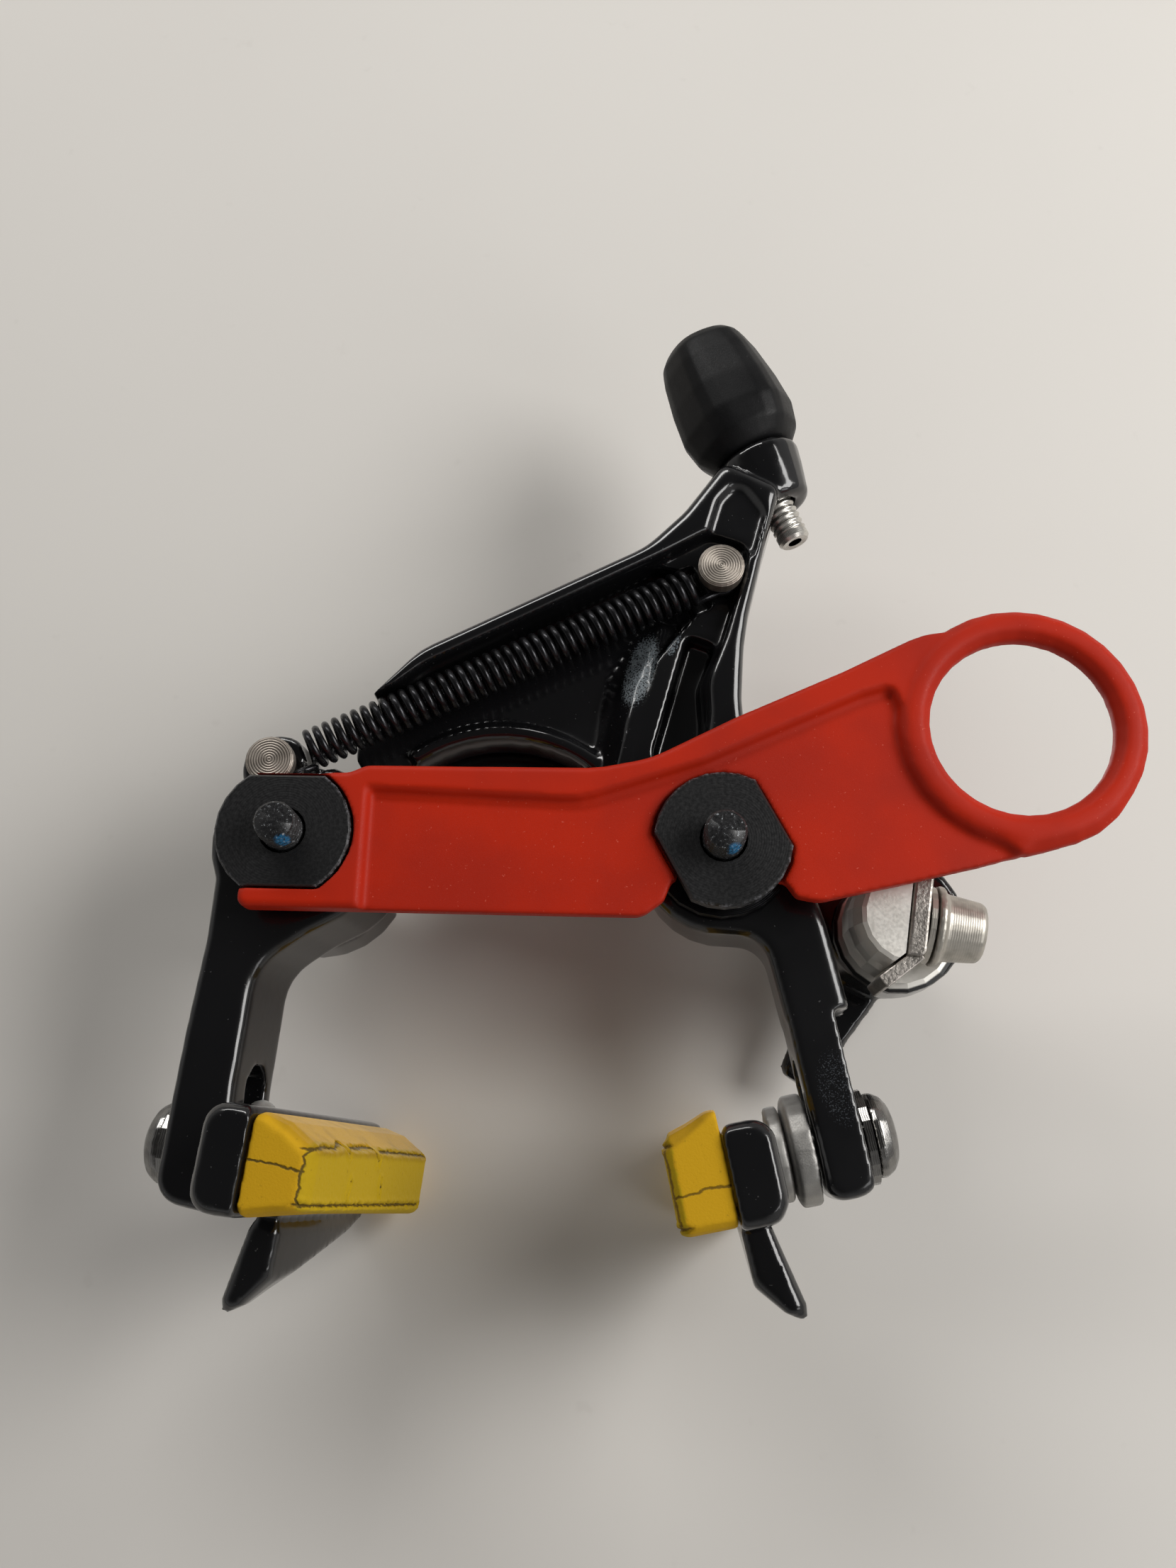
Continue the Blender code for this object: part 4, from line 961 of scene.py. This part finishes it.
@dataclass(frozen=True)
class Softened:
    """A CAD node drawn again with the small radii that forging or moulding leaves.

    Geometry stays inside the node's own, because smoothing only draws edges in.
    """

    node: str
    body: str
    voxel: float = 0.42 * MM
    passes: int = 6

    def mesh(self) -> bpy.types.Mesh:
        """Draws the node again.

        Returns:
            A dense closed mesh in the model's axes.
        """
        source = frame["nodes"][self.node]
        carrier = bpy.data.objects.new("softened", source.data.copy())
        bpy.context.scene.collection.objects.link(carrier)
        grid = carrier.modifiers.new("grid", "REMESH")
        grid.mode = "VOXEL"
        grid.voxel_size = self.voxel
        iron = carrier.modifiers.new("iron", "SMOOTH")
        iron.factor = 0.5
        iron.iterations = self.passes
        data = baked(carrier)
        data.transform(source.matrix_world)
        data.shade_smooth()
        return data

    def piece(self, name: str, finish: bpy.types.Material, slot: Slot) -> bpy.types.Object:
        """Draws the node and puts it in the node's place, moving with its body.

        Args:
            name: The new piece's name.
            finish: Its material.
            slot: Not used.

        Returns:
            The piece.
        """
        piece = new_piece(name, self.mesh(), finish)
        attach(piece, self.body)
        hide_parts(self.node)
        return piece


@dataclass
class PostHardware:
    """What stays on the two posts: bolts, washers, bushes and liners."""

    spacing: float = 62.0 * MM
    bolt_radius: float = 3.0 * MM
    thread_depth: float = 0.45 * MM
    thread_length: float = 14.0 * MM
    proud: float = 5.0 * MM
    head: tuple[tuple, ...] = (
        (5.0, 5.4), (4.6, 5.9), (4.3, 6.0), (2.75, 6.0), (2.5, 5.8, True), (2.5, 2.2, True), (0.2, 1.9),
    )
    head_rear: dict = field(default_factory=lambda: {Side.LEFT: 33.3 * MM, Side.RIGHT: 23.3 * MM})

    def build(self) -> None:
        """Dresses the hardware of both posts."""
        steel = PlainMetal("zinc_plate", (0.58, 0.57, 0.54), (0.42, 0.41, 0.39), (0.22, 0.34)).material()
        liner = MouldedRubber(
            "bearing_polymer", (0.52, 0.50, 0.45), (0.42, 0.40, 0.36), (0.4, 0.55)
        ).material()
        for side in Side:
            x = -side.value * self.spacing / 2
            dress(steel, f"thrust_washer_{side.word}")
            dress(liner, f"pivot_liner_{side.word}")
            dress(SatinWasher(f"satin_black_{side.word}", (x, 0, 0)).material(), f"flange_washer_{side.word}")
            bush = TurnedMetal(f"blackened_bush_{side.word}", (x, 0, 0), (0, 1, 0),
                               (0.03, 0.03, 0.032), (0.015, 0.015, 0.016), (0.3, 0.42))
            dress(bush.material(), f"pivot_bush_{side.word}")
            self.bolt(side, x)

    def bolt(self, side: Side, x: float) -> None:
        """A long socket bolt with its threaded end proud of the washer.

        Args:
            side: The post's side.
            x: The post's place across.
        """
        smear = (x + 1.4 * MM, -3.8 * MM, -2.6 * MM)
        finish = LockedBolt(f"locked_bolt_{side.word}", (x, 0, 0), smear).material()
        seat = self.head_rear[side] + self.proud
        root = self.bolt_radius - self.thread_depth
        thread = Thread(self.bolt_radius, self.thread_length, depth=self.thread_depth).mesh(finish)
        shank = lathe([
            (root, 13.0 * MM), (root, self.thread_length), (self.bolt_radius, 14.6 * MM),
            (self.bolt_radius, seat), (5.0 * MM, seat),
            *((radius * MM, seat + along * MM, *flat) for radius, along, *flat in self.head),
        ])
        data = joined((thread, shank))
        data.transform(axis_frame(Vector((x, -self.proud, 0)), Vector((0, 1, 0)), Vector((1, 0, 0))))
        piece = new_piece(f"threaded_bolt_{side.word}", data, finish)
        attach(piece, "mount")
        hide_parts(f"mounting_bolt_{side.word}")


@dataclass
class SpacerAndArms:
    """The red transport spacer and the two painted forgings with their turned pins.

    Attributes:
        lower_pin: The left arm's spring pin.
        upper_pin: The right arm's spring pin.
        edge_span: Where along X the spacer's lower edge gives the line for the rest of it.
        ring_end: Where along X the line has faded out under the ring.
        fade_in: Length over which the line takes hold.
        fade_out: Length over which it fades out.
        edge_depth: How far up the edge takes the plastic with it.
        most_drop: The furthest that the edge is lowered.
    """

    lower_pin: Point = mm(-35.2, 0.0, 11.8)
    upper_pin: Point = mm(31.0, 0.0, 43.7)
    edge_span: tuple[float, float] = mm(50.0, 62.0)
    ring_end: float = 88.0 * MM
    fade_in: float = 3.0 * MM
    fade_out: float = 12.0 * MM
    edge_depth: float = 3.0 * MM
    most_drop: float = 1.4 * MM

    def straighten(self, data: bpy.types.Mesh) -> None:
        """Runs the spacer's lower edge straight into the ring, as the moulding does.

        Args:
            data: The spacer's mesh, changed in place.
        """
        step = MM
        lowest: dict[int, float] = {}
        for vertex in data.vertices:
            key = round(vertex.co.x / step)
            lowest[key] = min(lowest.get(key, 1.0), vertex.co.z)
        places = [key * step for key in sorted(lowest)]
        edges = [lowest[key] for key in sorted(lowest)]
        first, last = self.edge_span
        height = float(np.interp(last, places, edges))
        slope = (height - float(np.interp(first, places, edges))) / (last - first)
        for vertex in data.vertices:
            x = vertex.co.x
            edge = float(np.interp(x, places, edges))
            fade = clamp(min((x - last) / self.fade_in, (self.ring_end - x) / self.fade_out))
            drop = max(0.0, edge - height - slope * (x - last)) * fade
            vertex.co.z -= min(drop, self.most_drop) * clamp(1.0 - (vertex.co.z - edge) / self.edge_depth)

    def build(self) -> None:
        """Dresses the spacer, the arms and their pins."""
        red = MattMoulding("red_moulding").material()
        spacer = Softened("transport_spacer", "mount", 0.4 * MM, 5).piece("moulded_spacer", red, Slot.RED)
        self.straighten(spacer.data)
        right = (
            Scuff(mm(19.0, 9.5, 29.2), mm(4.0, 9.0, 11.0), (0, 12, 0), 1.0,
                  (0.15, 0.175, 0.19)),
            Scuff(mm(24.0, 8.6, 33.0), mm(1.6, 5.0, 4.0), (0, 14, 0), 0.75),
            # Worn paint on the right leg's inner face, with a painted bluish reflection in its dark blue
            # colour.
            Scuff(mm(47.2, 7.4, -33.0), mm(5.0, 3.0, 9.0), (0, -12, 0), 0.4,
                  (0.022, 0.027, 0.034)),
            Scuff(mm(37.0, 5.6, 18.0), mm(1.2, 3.0, 4.0), (0, 5, 0), 0.5),
        )
        left = (
            Scuff(mm(-31.0, 12.0, -20.0), mm(3.0, 3.0, 3.5), (0, 0, 0), 0.2),
        )
        for name, node, body, scuffs in (
            ("forged_arm_right", "cable_stop_arm", "right_arm", right),
            ("forged_arm_left", "anchor_arm", "left_arm", left),
        ):
            paint = BlackEnamel(f"enamel_{name}", scuffs).material()
            Softened(node, body).piece(name, paint, Slot.FORGING)
        for name, place in (("spring_pin_lower", self.lower_pin), ("spring_pin_upper", self.upper_pin)):
            # The pins' turning grooves get painted shade.
            turned = TurnedMetal(f"turned_{name}", place, (0, 1, 0), (0.40, 0.355, 0.31), (0.28, 0.245, 0.21),
                                 (0.36, 0.46), 0.38 * MM, 0.03 * MM, metallic=0.85, groove=0.75)
            dress(turned.material(), name)
        hidden = PlainMetal("ground_steel", (0.5, 0.49, 0.47), (0.36, 0.35, 0.34), (0.2, 0.3)).material()
        dress(hidden, "link_pin", "link_roller")


@dataclass
class ReturnSpring:
    """The black tension spring, drawn as two halves."""

    start: Point = mm(-35.2, 8.0, 11.8)
    end: Point = mm(31.0, 8.0, 43.7)
    reach: float = 5.3 * MM
    coil_radius: float = 2.65 * MM
    wire: float = 0.55 * MM
    hook: float = 2.95 * MM
    turns: int = 41
    steps: int = 20

    def path(self, first: float, last: float, flip: bool) -> list[Point]:
        """The wire's centre line over a share of the coil, with the hook at its outer end.

        Args:
            first: Where the share starts, from 0 to 1.
            last: Where it ends.
            flip: True for the half that ends in the upper hook.

        Returns:
            Points from the lower to the upper end.
        """
        start, end = Vector(self.start), Vector(self.end)
        heading = (end - start).normalized()
        side = heading.cross(Vector((0, -1, 0))).normalized()
        depth = Vector((0, 1, 0))
        length = (end - start).length - 2 * self.reach
        count = round(self.turns * self.steps * (last - first))
        coil = []
        for i in range(count + 1):
            share = first + (last - first) * i / count
            angle = 2 * math.pi * self.turns * share
            spoke = side * math.cos(angle) + depth * math.sin(angle)
            coil.append(start + heading * (self.reach + length * share) + spoke * self.coil_radius)
        centre, forward = (end, 1.0) if flip else (start, -1.0)
        hook = []
        for degrees in range(-150, 121, 10):
            angle = math.radians(degrees)
            along = heading * forward * self.hook * math.cos(angle)
            hook.append(centre + along + side * self.hook * math.sin(angle))
        points = coil + hook[::-1] if flip else hook + coil
        return [tuple(p) for p in points]

    def build(self) -> None:
        """Draws both halves."""
        finish = PlainMetal(
            "oiled_spring_wire", (0.030, 0.030, 0.033), (0.012, 0.012, 0.013), (0.2, 0.34),
            0.3 * MM, metallic=0.8,
        ).material()
        start, end = Vector(self.start), Vector(self.end)
        halves = (
            ("spring_lower_half", 0.0, 0.5, False, "left_arm", start),
            ("spring_upper_half", 0.5, 1.0, True, "right_arm", end),
        )
        for name, first, last, flip, arm, pin in halves:
            data = Pipe(self.wire).mesh(self.path(first, last, flip), finish)
            piece = new_piece(name, data, finish)
            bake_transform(piece)
            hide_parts("return_spring")


@dataclass
class CableAdjuster:
    """The rubber covered knob and its hollow bolt in the arm's boss."""

    foot: Point = mm(33.7, 12.5, 73.6)
    axis: Point = (-0.394904, 0.0, 0.918722)

    def build(self) -> None:
        """Dresses the knob and cuts the thread on the bolt's lower end."""
        knob = MouldedRubber("knob_rubber", (0.009, 0.009, 0.0095), (0.005, 0.005, 0.0055), (0.36, 0.48),
                              gloss=0.12)
        Softened("adjuster_knob", "adjuster_knob", 0.35 * MM).piece(
            "rubber_knob", knob.material(), Slot.RUBBER
        )
        # Its bore is painted black as painted shade in the hole.
        silver = TurnedMetal("adjuster_silver", self.foot, self.axis, (0.60, 0.58, 0.54),
                             (0.42, 0.40, 0.37), (0.24, 0.34), 0.2 * MM, 0.002 * MM,
                             metallic=0.9, bore=1.15 * MM)
        finish = silver.material()
        place = axis_frame(Vector(self.foot), Vector(self.axis), Vector((1, 0, 0)))
        thread = Thread(2.6 * MM, 30.0 * MM, pitch=1.1 * MM, depth=0.42 * MM, around=48).mesh(finish)
        thread.transform(Matrix.Translation((0, 0, -23.0 * MM)))
        nose = lathe([
            mm(0.4, -23.2), mm(1.1, -23.2), mm(1.1, -23.9), mm(1.3, -24.0),
            mm(2.1, -24.0), mm(2.5, -23.5), mm(2.5, -22.6), mm(2.1, -22.3),
            mm(0.4, -22.3),
        ])
        cup = lathe([
            mm(2.2, 6.6), mm(2.6, 7.2), mm(2.6, 8.4), mm(4.2, 8.9),
            mm(4.2, 14.4), mm(3.8, 14.8), mm(2.8, 14.8), mm(2.6, 14.5),
            mm(2.6, 9.4), mm(1.1, 9.0), mm(1.1, 8.6),
        ])
        data = joined((thread, nose, cup))
        data.transform(place)
        piece = new_piece("threaded_adjuster", data, finish)
        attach(piece, "adjuster_bolt")
        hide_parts("adjuster_bolt")


@dataclass
class CableClamp:
    """The quick release lever and the swivelling anchor behind it."""

    swivel: Point = mm(58.0, 12.0, -9.0)
    rim: float = 1.9 * MM
    tilt: float = 8.0

    def build(self) -> None:
        """Dresses the lever and the bright anchor."""
        paint = BlackEnamel("black_enamel_lever").material()
        Softened("qr_lever", "qr_lever", 0.35 * MM, 4).piece("painted_lever", paint, Slot.FORGING)
        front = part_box("anchor_block")[1][1]
        chrome = PlainMetal("bright_anchor", (0.90, 0.87, 0.81), (0.78, 0.75, 0.69), (0.32, 0.44),
                            0.5 * MM, 0.006 * MM, metallic=0.55, black_from=front - self.rim)
        dress(chrome.material(), "anchor_block")
        stamped = PlainMetal("stamped_plate", (0.40, 0.37, 0.34), (0.24, 0.22, 0.20), (0.3, 0.5),
                             0.45 * MM, 0.08 * MM, metallic=0.85)
        dress(stamped.material(), "anchor_plate")
        turn = Matrix.Rotation(math.radians(self.tilt), 3, "Y")
        axis = tuple(turn @ Vector((1, 0, 0)))
        bolt = TurnedMetal("bright_bolt", self.swivel, axis, (0.48, 0.45, 0.40),
                           (0.36, 0.34, 0.30), (0.34, 0.44), 0.3 * MM, 0.006 * MM, metallic=0.75)
        finish = bolt.material()
        dress(finish, "anchor_washer")
        Softened("anchor_bolt", "cable_anchor", 0.22 * MM, 8).piece("clamp_screw", finish, Slot.CHROME)


@dataclass(frozen=True)
class Fray:
    """How the film on a braking face is torn, in millimetres.

    Attributes:
        skin: How far in from its border the film is at its full height, and that height.
        lip: Where the raised lip beside a split is, its width and its height.
        cleft: Width and depth of a split.
        grit: Height of the film's roughness.
        wander: How far a split strays from its line.
    """

    skin: tuple[float, float] = (0.4, 0.10)
    lip: tuple[float, float, float] = (0.55, 0.3, 0.16)
    cleft: tuple[float, float] = (0.24, 0.42)
    grit: float = 0.035
    wander: float = 0.35

    def lift(self, inside: float, gap: float, rough: float) -> float:
        """How far a point of the braking face is raised.

        Args:
            inside: Its distance in from the film's border.
            gap: Its distance from the nearest split.
            rough: Roughness there, from -1 to 1.

        Returns:
            The height towards the rim.
        """
        border, height = self.skin
        place, width, crest = self.lip
        half, depth = self.cleft
        bump = crest * math.exp(-((gap - place) / width) ** 2) - depth * math.exp(-((gap / half) ** 2))
        return height * clamp(inside / border) + self.grit * rough + bump


@dataclass
class PadSet:
    """Holder, rubber, bolt and washers of one side, in millimetres in the set's own axes.

    Attributes:
        film: Low and high Y, then low and high Z, of the film on the braking face.
        face: Where the braking face lies along X.
        reach: Where along X the pad starts to be pushed and is pushed in full, and how far.
        tuck: How far the lower edge is tucked up at the near end.
        tuck_fades: Where along X, Y and Z the tuck is nothing and where it is full.
        droop: How far the holder's top edge is lowered.
        guide: Where along Z the wheel guide starts to swell and has swollen, and by how much.
        foot: Lowest Z that is raised with the pad's top.
        rises: Rows of a place along X, the CAD pad's top there and how far that is raised.
        split: Colour of the split lines.
    """

    side: Side
    origin: Point
    up: Point
    inward: Point
    tears: tuple[Tear, ...]
    film: tuple[float, float, float, float] = (-26.8, 24.5, -4.2, 3.3)
    face: float = 18.8
    reach: tuple[float, float, float] = (13.5, 17.5, 1.3)
    tuck: float = 1.9
    tuck_fades: tuple[tuple[float, float], ...] = ((11.0, 18.0), (50.0, -27.0), (0.5, -6.0))
    droop: float = 0.0
    guide: tuple[float, float, float] = (-7.0, -9.0, 0.6)
    foot: float = -5.0
    rises: tuple[tuple[float, float, float], ...] = (
        (10.5, 5.1, 0.7), (12.0, 5.0, 0.8), (14.5, 3.1, 1.9), (17.2, 1.1, 1.3),
    )
    split: Colour = (0.10, 0.065, 0.012)

    def fuller(self, data: bpy.types.Mesh) -> bpy.types.Mesh:
        """Fills the pad out to the height and the face that the worn rubber still has.

        Args:
            data: The pad's mesh, changed in place.

        Returns:
            The same mesh.
        """
        place = self.place()
        inverse = place.inverted()
        start, end, push = self.reach
        fade_x, fade_y, fade_z = self.tuck_fades
        across, tops, lifts = zip(*self.rises)
        for vertex in data.vertices:
            local = (inverse @ vertex.co) / MM
            top = float(np.interp(local.x, across, tops))
            lift = float(np.interp(local.x, across, lifts))
            local.z += lift * ramp(local.z, self.foot, top)
            tuck = self.tuck * ramp(local.x, *fade_x) * ramp(local.y, *fade_y)
            local.z += tuck * ramp(local.z, *fade_z)
            share = ramp(local.x, start, end)
            local.x += push * share * share * (3.0 - 2.0 * share)
            vertex.co = place @ (local * MM)
        return data

    def stouter(self, data: bpy.types.Mesh) -> None:
        """Rounds the holder's wheel guide out below the pad and lowers the holder's top edge.

        Args:
            data: The holder's mesh, changed in place.
        """
        inverse = self.place().inverted()
        start, end, swell = self.guide
        heights = [(inverse @ vertex.co).z / MM for vertex in data.vertices]
        tip = min(heights)
        normals = [vertex.normal.copy() for vertex in data.vertices]
        for vertex, height, normal in zip(data.vertices, heights, normals):
            share = ramp(height, start, end) * clamp((height - tip) / 1.5)
            vertex.co += normal * swell * MM * share
            vertex.co -= Vector(self.up) * self.droop * MM * ramp(height, 0.0, 4.0)

    def place(self) -> Matrix:
        """The set's own axes: X towards the rim, Y away from the frame and Z up."""
        inward, up = Vector(self.inward), Vector(self.up)
        turn = Matrix((inward, up.cross(inward), up)).transposed().to_4x4()
        return Matrix.Translation(self.origin) @ turn

    def torn(self, data: bpy.types.Mesh) -> bpy.types.Mesh:
        """Splits the braking face along the tears and frays the film round them.

        Args:
            data: The pad's dense mesh, changed in place.

        Returns:
            The same mesh.
        """
        place = self.place()
        inverse = place.inverted()
        fray, skin_depth, far_off = Fray(), 1.6, 9.0
        pairs = [pair for tear in self.tears if tear.flat == 0 for pair in tear.segments()]
        near, far, low, high = self.film
        for vertex in data.vertices:
            local = (inverse @ vertex.co) / MM
            if local.x < self.face - skin_depth:
                continue
            rough = noise.fractal(local * 1.6, 0.6, 2.0, 3)
            stray = Vector((0.0, rough, noise.noise(local * 1.1))) * fray.wander
            spot = Vector((0.0, local.y, local.z)) + stray
            gap = far_off
            for first, last in pairs:
                run = last - first
                share = clamp((spot - first).dot(run) / run.length_squared)
                gap = min(gap, (spot - first - run * share).length)
            inside = min(spot.y - near, far - spot.y, spot.z - low, high - spot.z)
            lift = fray.lift(inside, gap, rough)
            vertex.co = place @ ((local + Vector((lift, 0.0, 0.0))) * MM)
        return data

    def build(self) -> None:
        """Dresses the set."""
        word = self.side.word
        paint = BlackEnamel(f"black_enamel_holder_{word}").material()
        body = f"{word}_pad"
        holder = Softened(f"pad_holder_{word}", body, 0.36 * MM, 5)
        self.stouter(holder.piece(f"forged_holder_{word}", paint, Slot.FORGING).data)
        rubber = WornPadRubber(
            f"yellow_rubber_{word}", self.place(), self.tears, self.film[3], split=self.split,
        ).material()
        data = self.torn(self.fuller(Softened(f"brake_pad_{word}", body, 0.25 * MM, 3).mesh()))
        pad = new_piece(f"worn_pad_{word}", data, rubber)
        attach(pad, body)
        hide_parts(f"brake_pad_{word}")
        grey = PlainMetal(f"blasted_grey_{word}", (0.42, 0.41, 0.39), (0.32, 0.31, 0.295),
                          (0.46, 0.6), 0.18 * MM, 0.02 * MM)
        finish = grey.material()
        for shape in ("convex", "concave"):
            washer = Softened(f"{shape}_washer_{word}", body, 0.3 * MM, 8)
            washer.piece(f"{shape}_ring_{word}", finish, Slot.GREY)
        bolt = TurnedMetal(f"pad_bolt_steel_{word}", self.origin, self.inward, (0.24, 0.235, 0.225),
                           (0.16, 0.155, 0.15), (0.18, 0.30), 0.3 * MM, 0.006 * MM)
        finish = bolt.material()
        dress(finish, f"pad_bolt_washer_{word}")
        Softened(f"pad_bolt_{word}", body, 0.22 * MM, 8).piece(f"pad_screw_{word}", finish, Slot.CHROME)


@dataclass
class Studio:
    """The table that the brake lies on, soft lamps and the photograph's camera."""

    camera_place: Point = mm(18.751, -182.178, -46.033)
    focal_pixels: float = 1900.0
    frame_height: float = 2212.0
    sensor: float = 36.0
    target: Point = mm(15, 20, 10)
    sky_range: tuple[float, float, float, float] = (-0.85, -0.25, 0.05, 0.42)
    lamps: tuple[tuple, ...] = (
        ("key", (0.50, -0.40, 0.12), (0.30, 0.40), 3.5, (1.0, 0.99, 0.97)),
        ("top", (-0.20, -0.34, 0.50), (0.50, 0.10), 1.8, (1.0, 0.99, 0.97)),
        ("low", (0.50, -0.40, -0.32), (0.30, 0.20), 0.5),
        ("back", (0.0, 0.65, 0.30), (0.5, 0.4), 3.0),
    )

    def camera(self) -> None:
        """Sets up the camera at the photograph's viewing angle."""
        data = bpy.data.cameras.new("camera")
        data.sensor_width = self.sensor
        data.lens = self.sensor * self.focal_pixels / self.frame_height
        data.clip_start = 1 * MM
        camera = bpy.data.objects.new("camera", data)
        bpy.context.scene.collection.objects.link(camera)
        right = (0.9991909, 0.0296474, 0.0271755)
        down = (0.0177074, 0.2823864, -0.9591373)
        ahead = (-0.0361100, 0.9588425, 0.2816330)
        turn = Matrix((right, -Vector(down), -Vector(ahead))).transposed().to_4x4()
        camera.matrix_world = Matrix.Translation(self.camera_place) @ turn
        bpy.context.scene.camera = camera

    def table(self) -> None:
        """Lays the pale table under the brake's front."""
        reach = 3.0
        y = CAD_BOX[1].y + 0.5 * MM
        corners = [(-reach, y, -reach), (reach, y, -reach), (reach, y, reach), (-reach, y, reach)]
        data = bpy.data.meshes.new("table")
        data.from_pydata(corners, [], [(0, 1, 2, 3)])
        data.materials.append(PaleSurface("pale_table").material())
        table = bpy.data.objects.new("table", data)
        bpy.context.scene.collection.objects.link(table)

    def lamp(self, name: str, place: Point, size: tuple[float, float], power: float,
             colour: Colour = (1.0, 1.0, 1.0)) -> None:
        """Hangs one soft rectangular lamp that faces the brake.

        Args:
            name: The lamp's name.
            place: Where it hangs.
            size: Its width and height.
            power: Its power in watts.
            colour: Its colour.
        """
        data = bpy.data.lights.new(name, "AREA")
        data.shape = "RECTANGLE"
        data.size, data.size_y = size
        data.energy = power
        data.color = colour
        lamp = bpy.data.objects.new(name, data)
        bpy.context.scene.collection.objects.link(lamp)
        lamp.matrix_world = axis_frame(Vector(place), Vector(place) - Vector(self.target), Vector((1, 0, 0)))

    def world(self) -> None:
        """A plain soft light from all round, dimmer above the brake than beside it."""
        world = bpy.data.worlds.new("studio")
        world.use_nodes = True
        graph = Graph(world.node_tree)
        heading = graph.add("TexCoord", {}, "Generated")
        depth = graph.add("SeparateXYZ", {0: heading}, "Y")
        levels = dict(enumerate(self.sky_range, start=1))
        level = graph.add("MapRange", {"Value": depth, **levels}, interpolation_type="SMOOTHSTEP")
        sky = graph.tree.nodes["Background"]
        graph.feed(sky.inputs["Color"], (1.0, 0.985, 0.965))
        graph.feed(sky.inputs["Strength"], level)
        bpy.context.scene.world = world

    def build(self) -> None:
        """Sets the stage."""
        self.camera()
        self.table()
        self.world()
        for lamp in self.lamps:
            self.lamp(*lamp)
        bpy.context.scene.view_settings.view_transform = "Standard"


def main() -> None:
    """Builds the stage and dresses every sub-assembly."""
    logging.basicConfig(level=logging.INFO, format="%(name)s: %(message)s")
    Studio().build()
    PostHardware().build()
    SpacerAndArms().build()
    ReturnSpring().build()
    CableAdjuster().build()
    CableClamp().build()
    left_tears = (
        Tear(flat=0, level=18.8, lines=(
            ((-26.6, 2.6), (-22.0, 3.0), (-18.0, 2.9), (-14.5, 3.7), (-12.6, 2.1), (-11.9, 3.1), (-2.0, 3.4)),
            ((-2.0, 3.4), (0.3, 1.3), (0.8, 3.0), (24.0, 2.9)),
            ((-26.6, -4.0), (24.0, -4.4)),
            ((-10.6, -1.0), (-11.3, -3.0), (-11.0, -4.3)),
            ((2.5, -0.8), (3.0, -3.0)),
        )),
        Tear(flat=1, level=-27.0, lines=(
            ((10.8, 0.4), (14.4, 0.25), (17.9, -0.1)),
            ((18.3, 2.5), (17.6, 1.6), (18.0, 0.8), (17.6, -0.6), (17.9, -2.0), (17.6, -3.3), (18.0, -4.2)),
        )),
    )
    right_tears = (
        Tear(flat=0, level=19.5, lines=(
            ((26.6, 3.2), (15.0, 3.7), (0.0, 3.2), (-24.0, 3.5)),
            ((26.6, -6.6), (0.0, -6.8), (-24.0, -6.6)),
            ((14.0, 2.6), (13.2, -1.6), (14.1, -4.2)),
        )),
        Tear(flat=1, level=27.0, lines=(
            ((12.4, -2.7), (14.9, -2.5), (17.0, -2.8), (19.6, -2.9)),
            ((19.5, 3.2), (19.3, -0.8), (19.4, -3.0), (19.2, -6.4)),
        )),
    )
    PadSet(
        side=Side.LEFT,
        origin=mm(-35.3, 15.5, -44.0),
        up=(0.111533, -0.013694, 0.993666),
        inward=(0.98626, -0.121097, -0.11237),
        tears=left_tears,
    ).build()
    PadSet(
        side=Side.RIGHT,
        origin=mm(43.9, 15.5, -41.0),
        up=(-0.215861, 0.011313, 0.976359),
        inward=(-0.975021, 0.051099, -0.216157),
        tears=right_tears,
        film=(-24.5, 26.8, -6.9, 3.4),
        face=19.5,
        reach=(15.0, 19.0, 0.3),
        tuck=0.0,
        droop=1.1,
        rises=(
            (9.8, 2.4, 0.0), (12.3, 3.9, 2.4), (13.6, 3.9, 2.4),
            (16.2, 1.95, 3.2), (18.3, 0.3, 4.0), (18.9, -0.1, 3.4),
        ),
        split=(0.17, 0.10, 0.010),
    ).build()


if __name__ == "__main__":
    for item in [o for o in bpy.data.objects if o.name in ("Cube", "Light", "Camera")]:
        bpy.data.objects.remove(item)
    main()
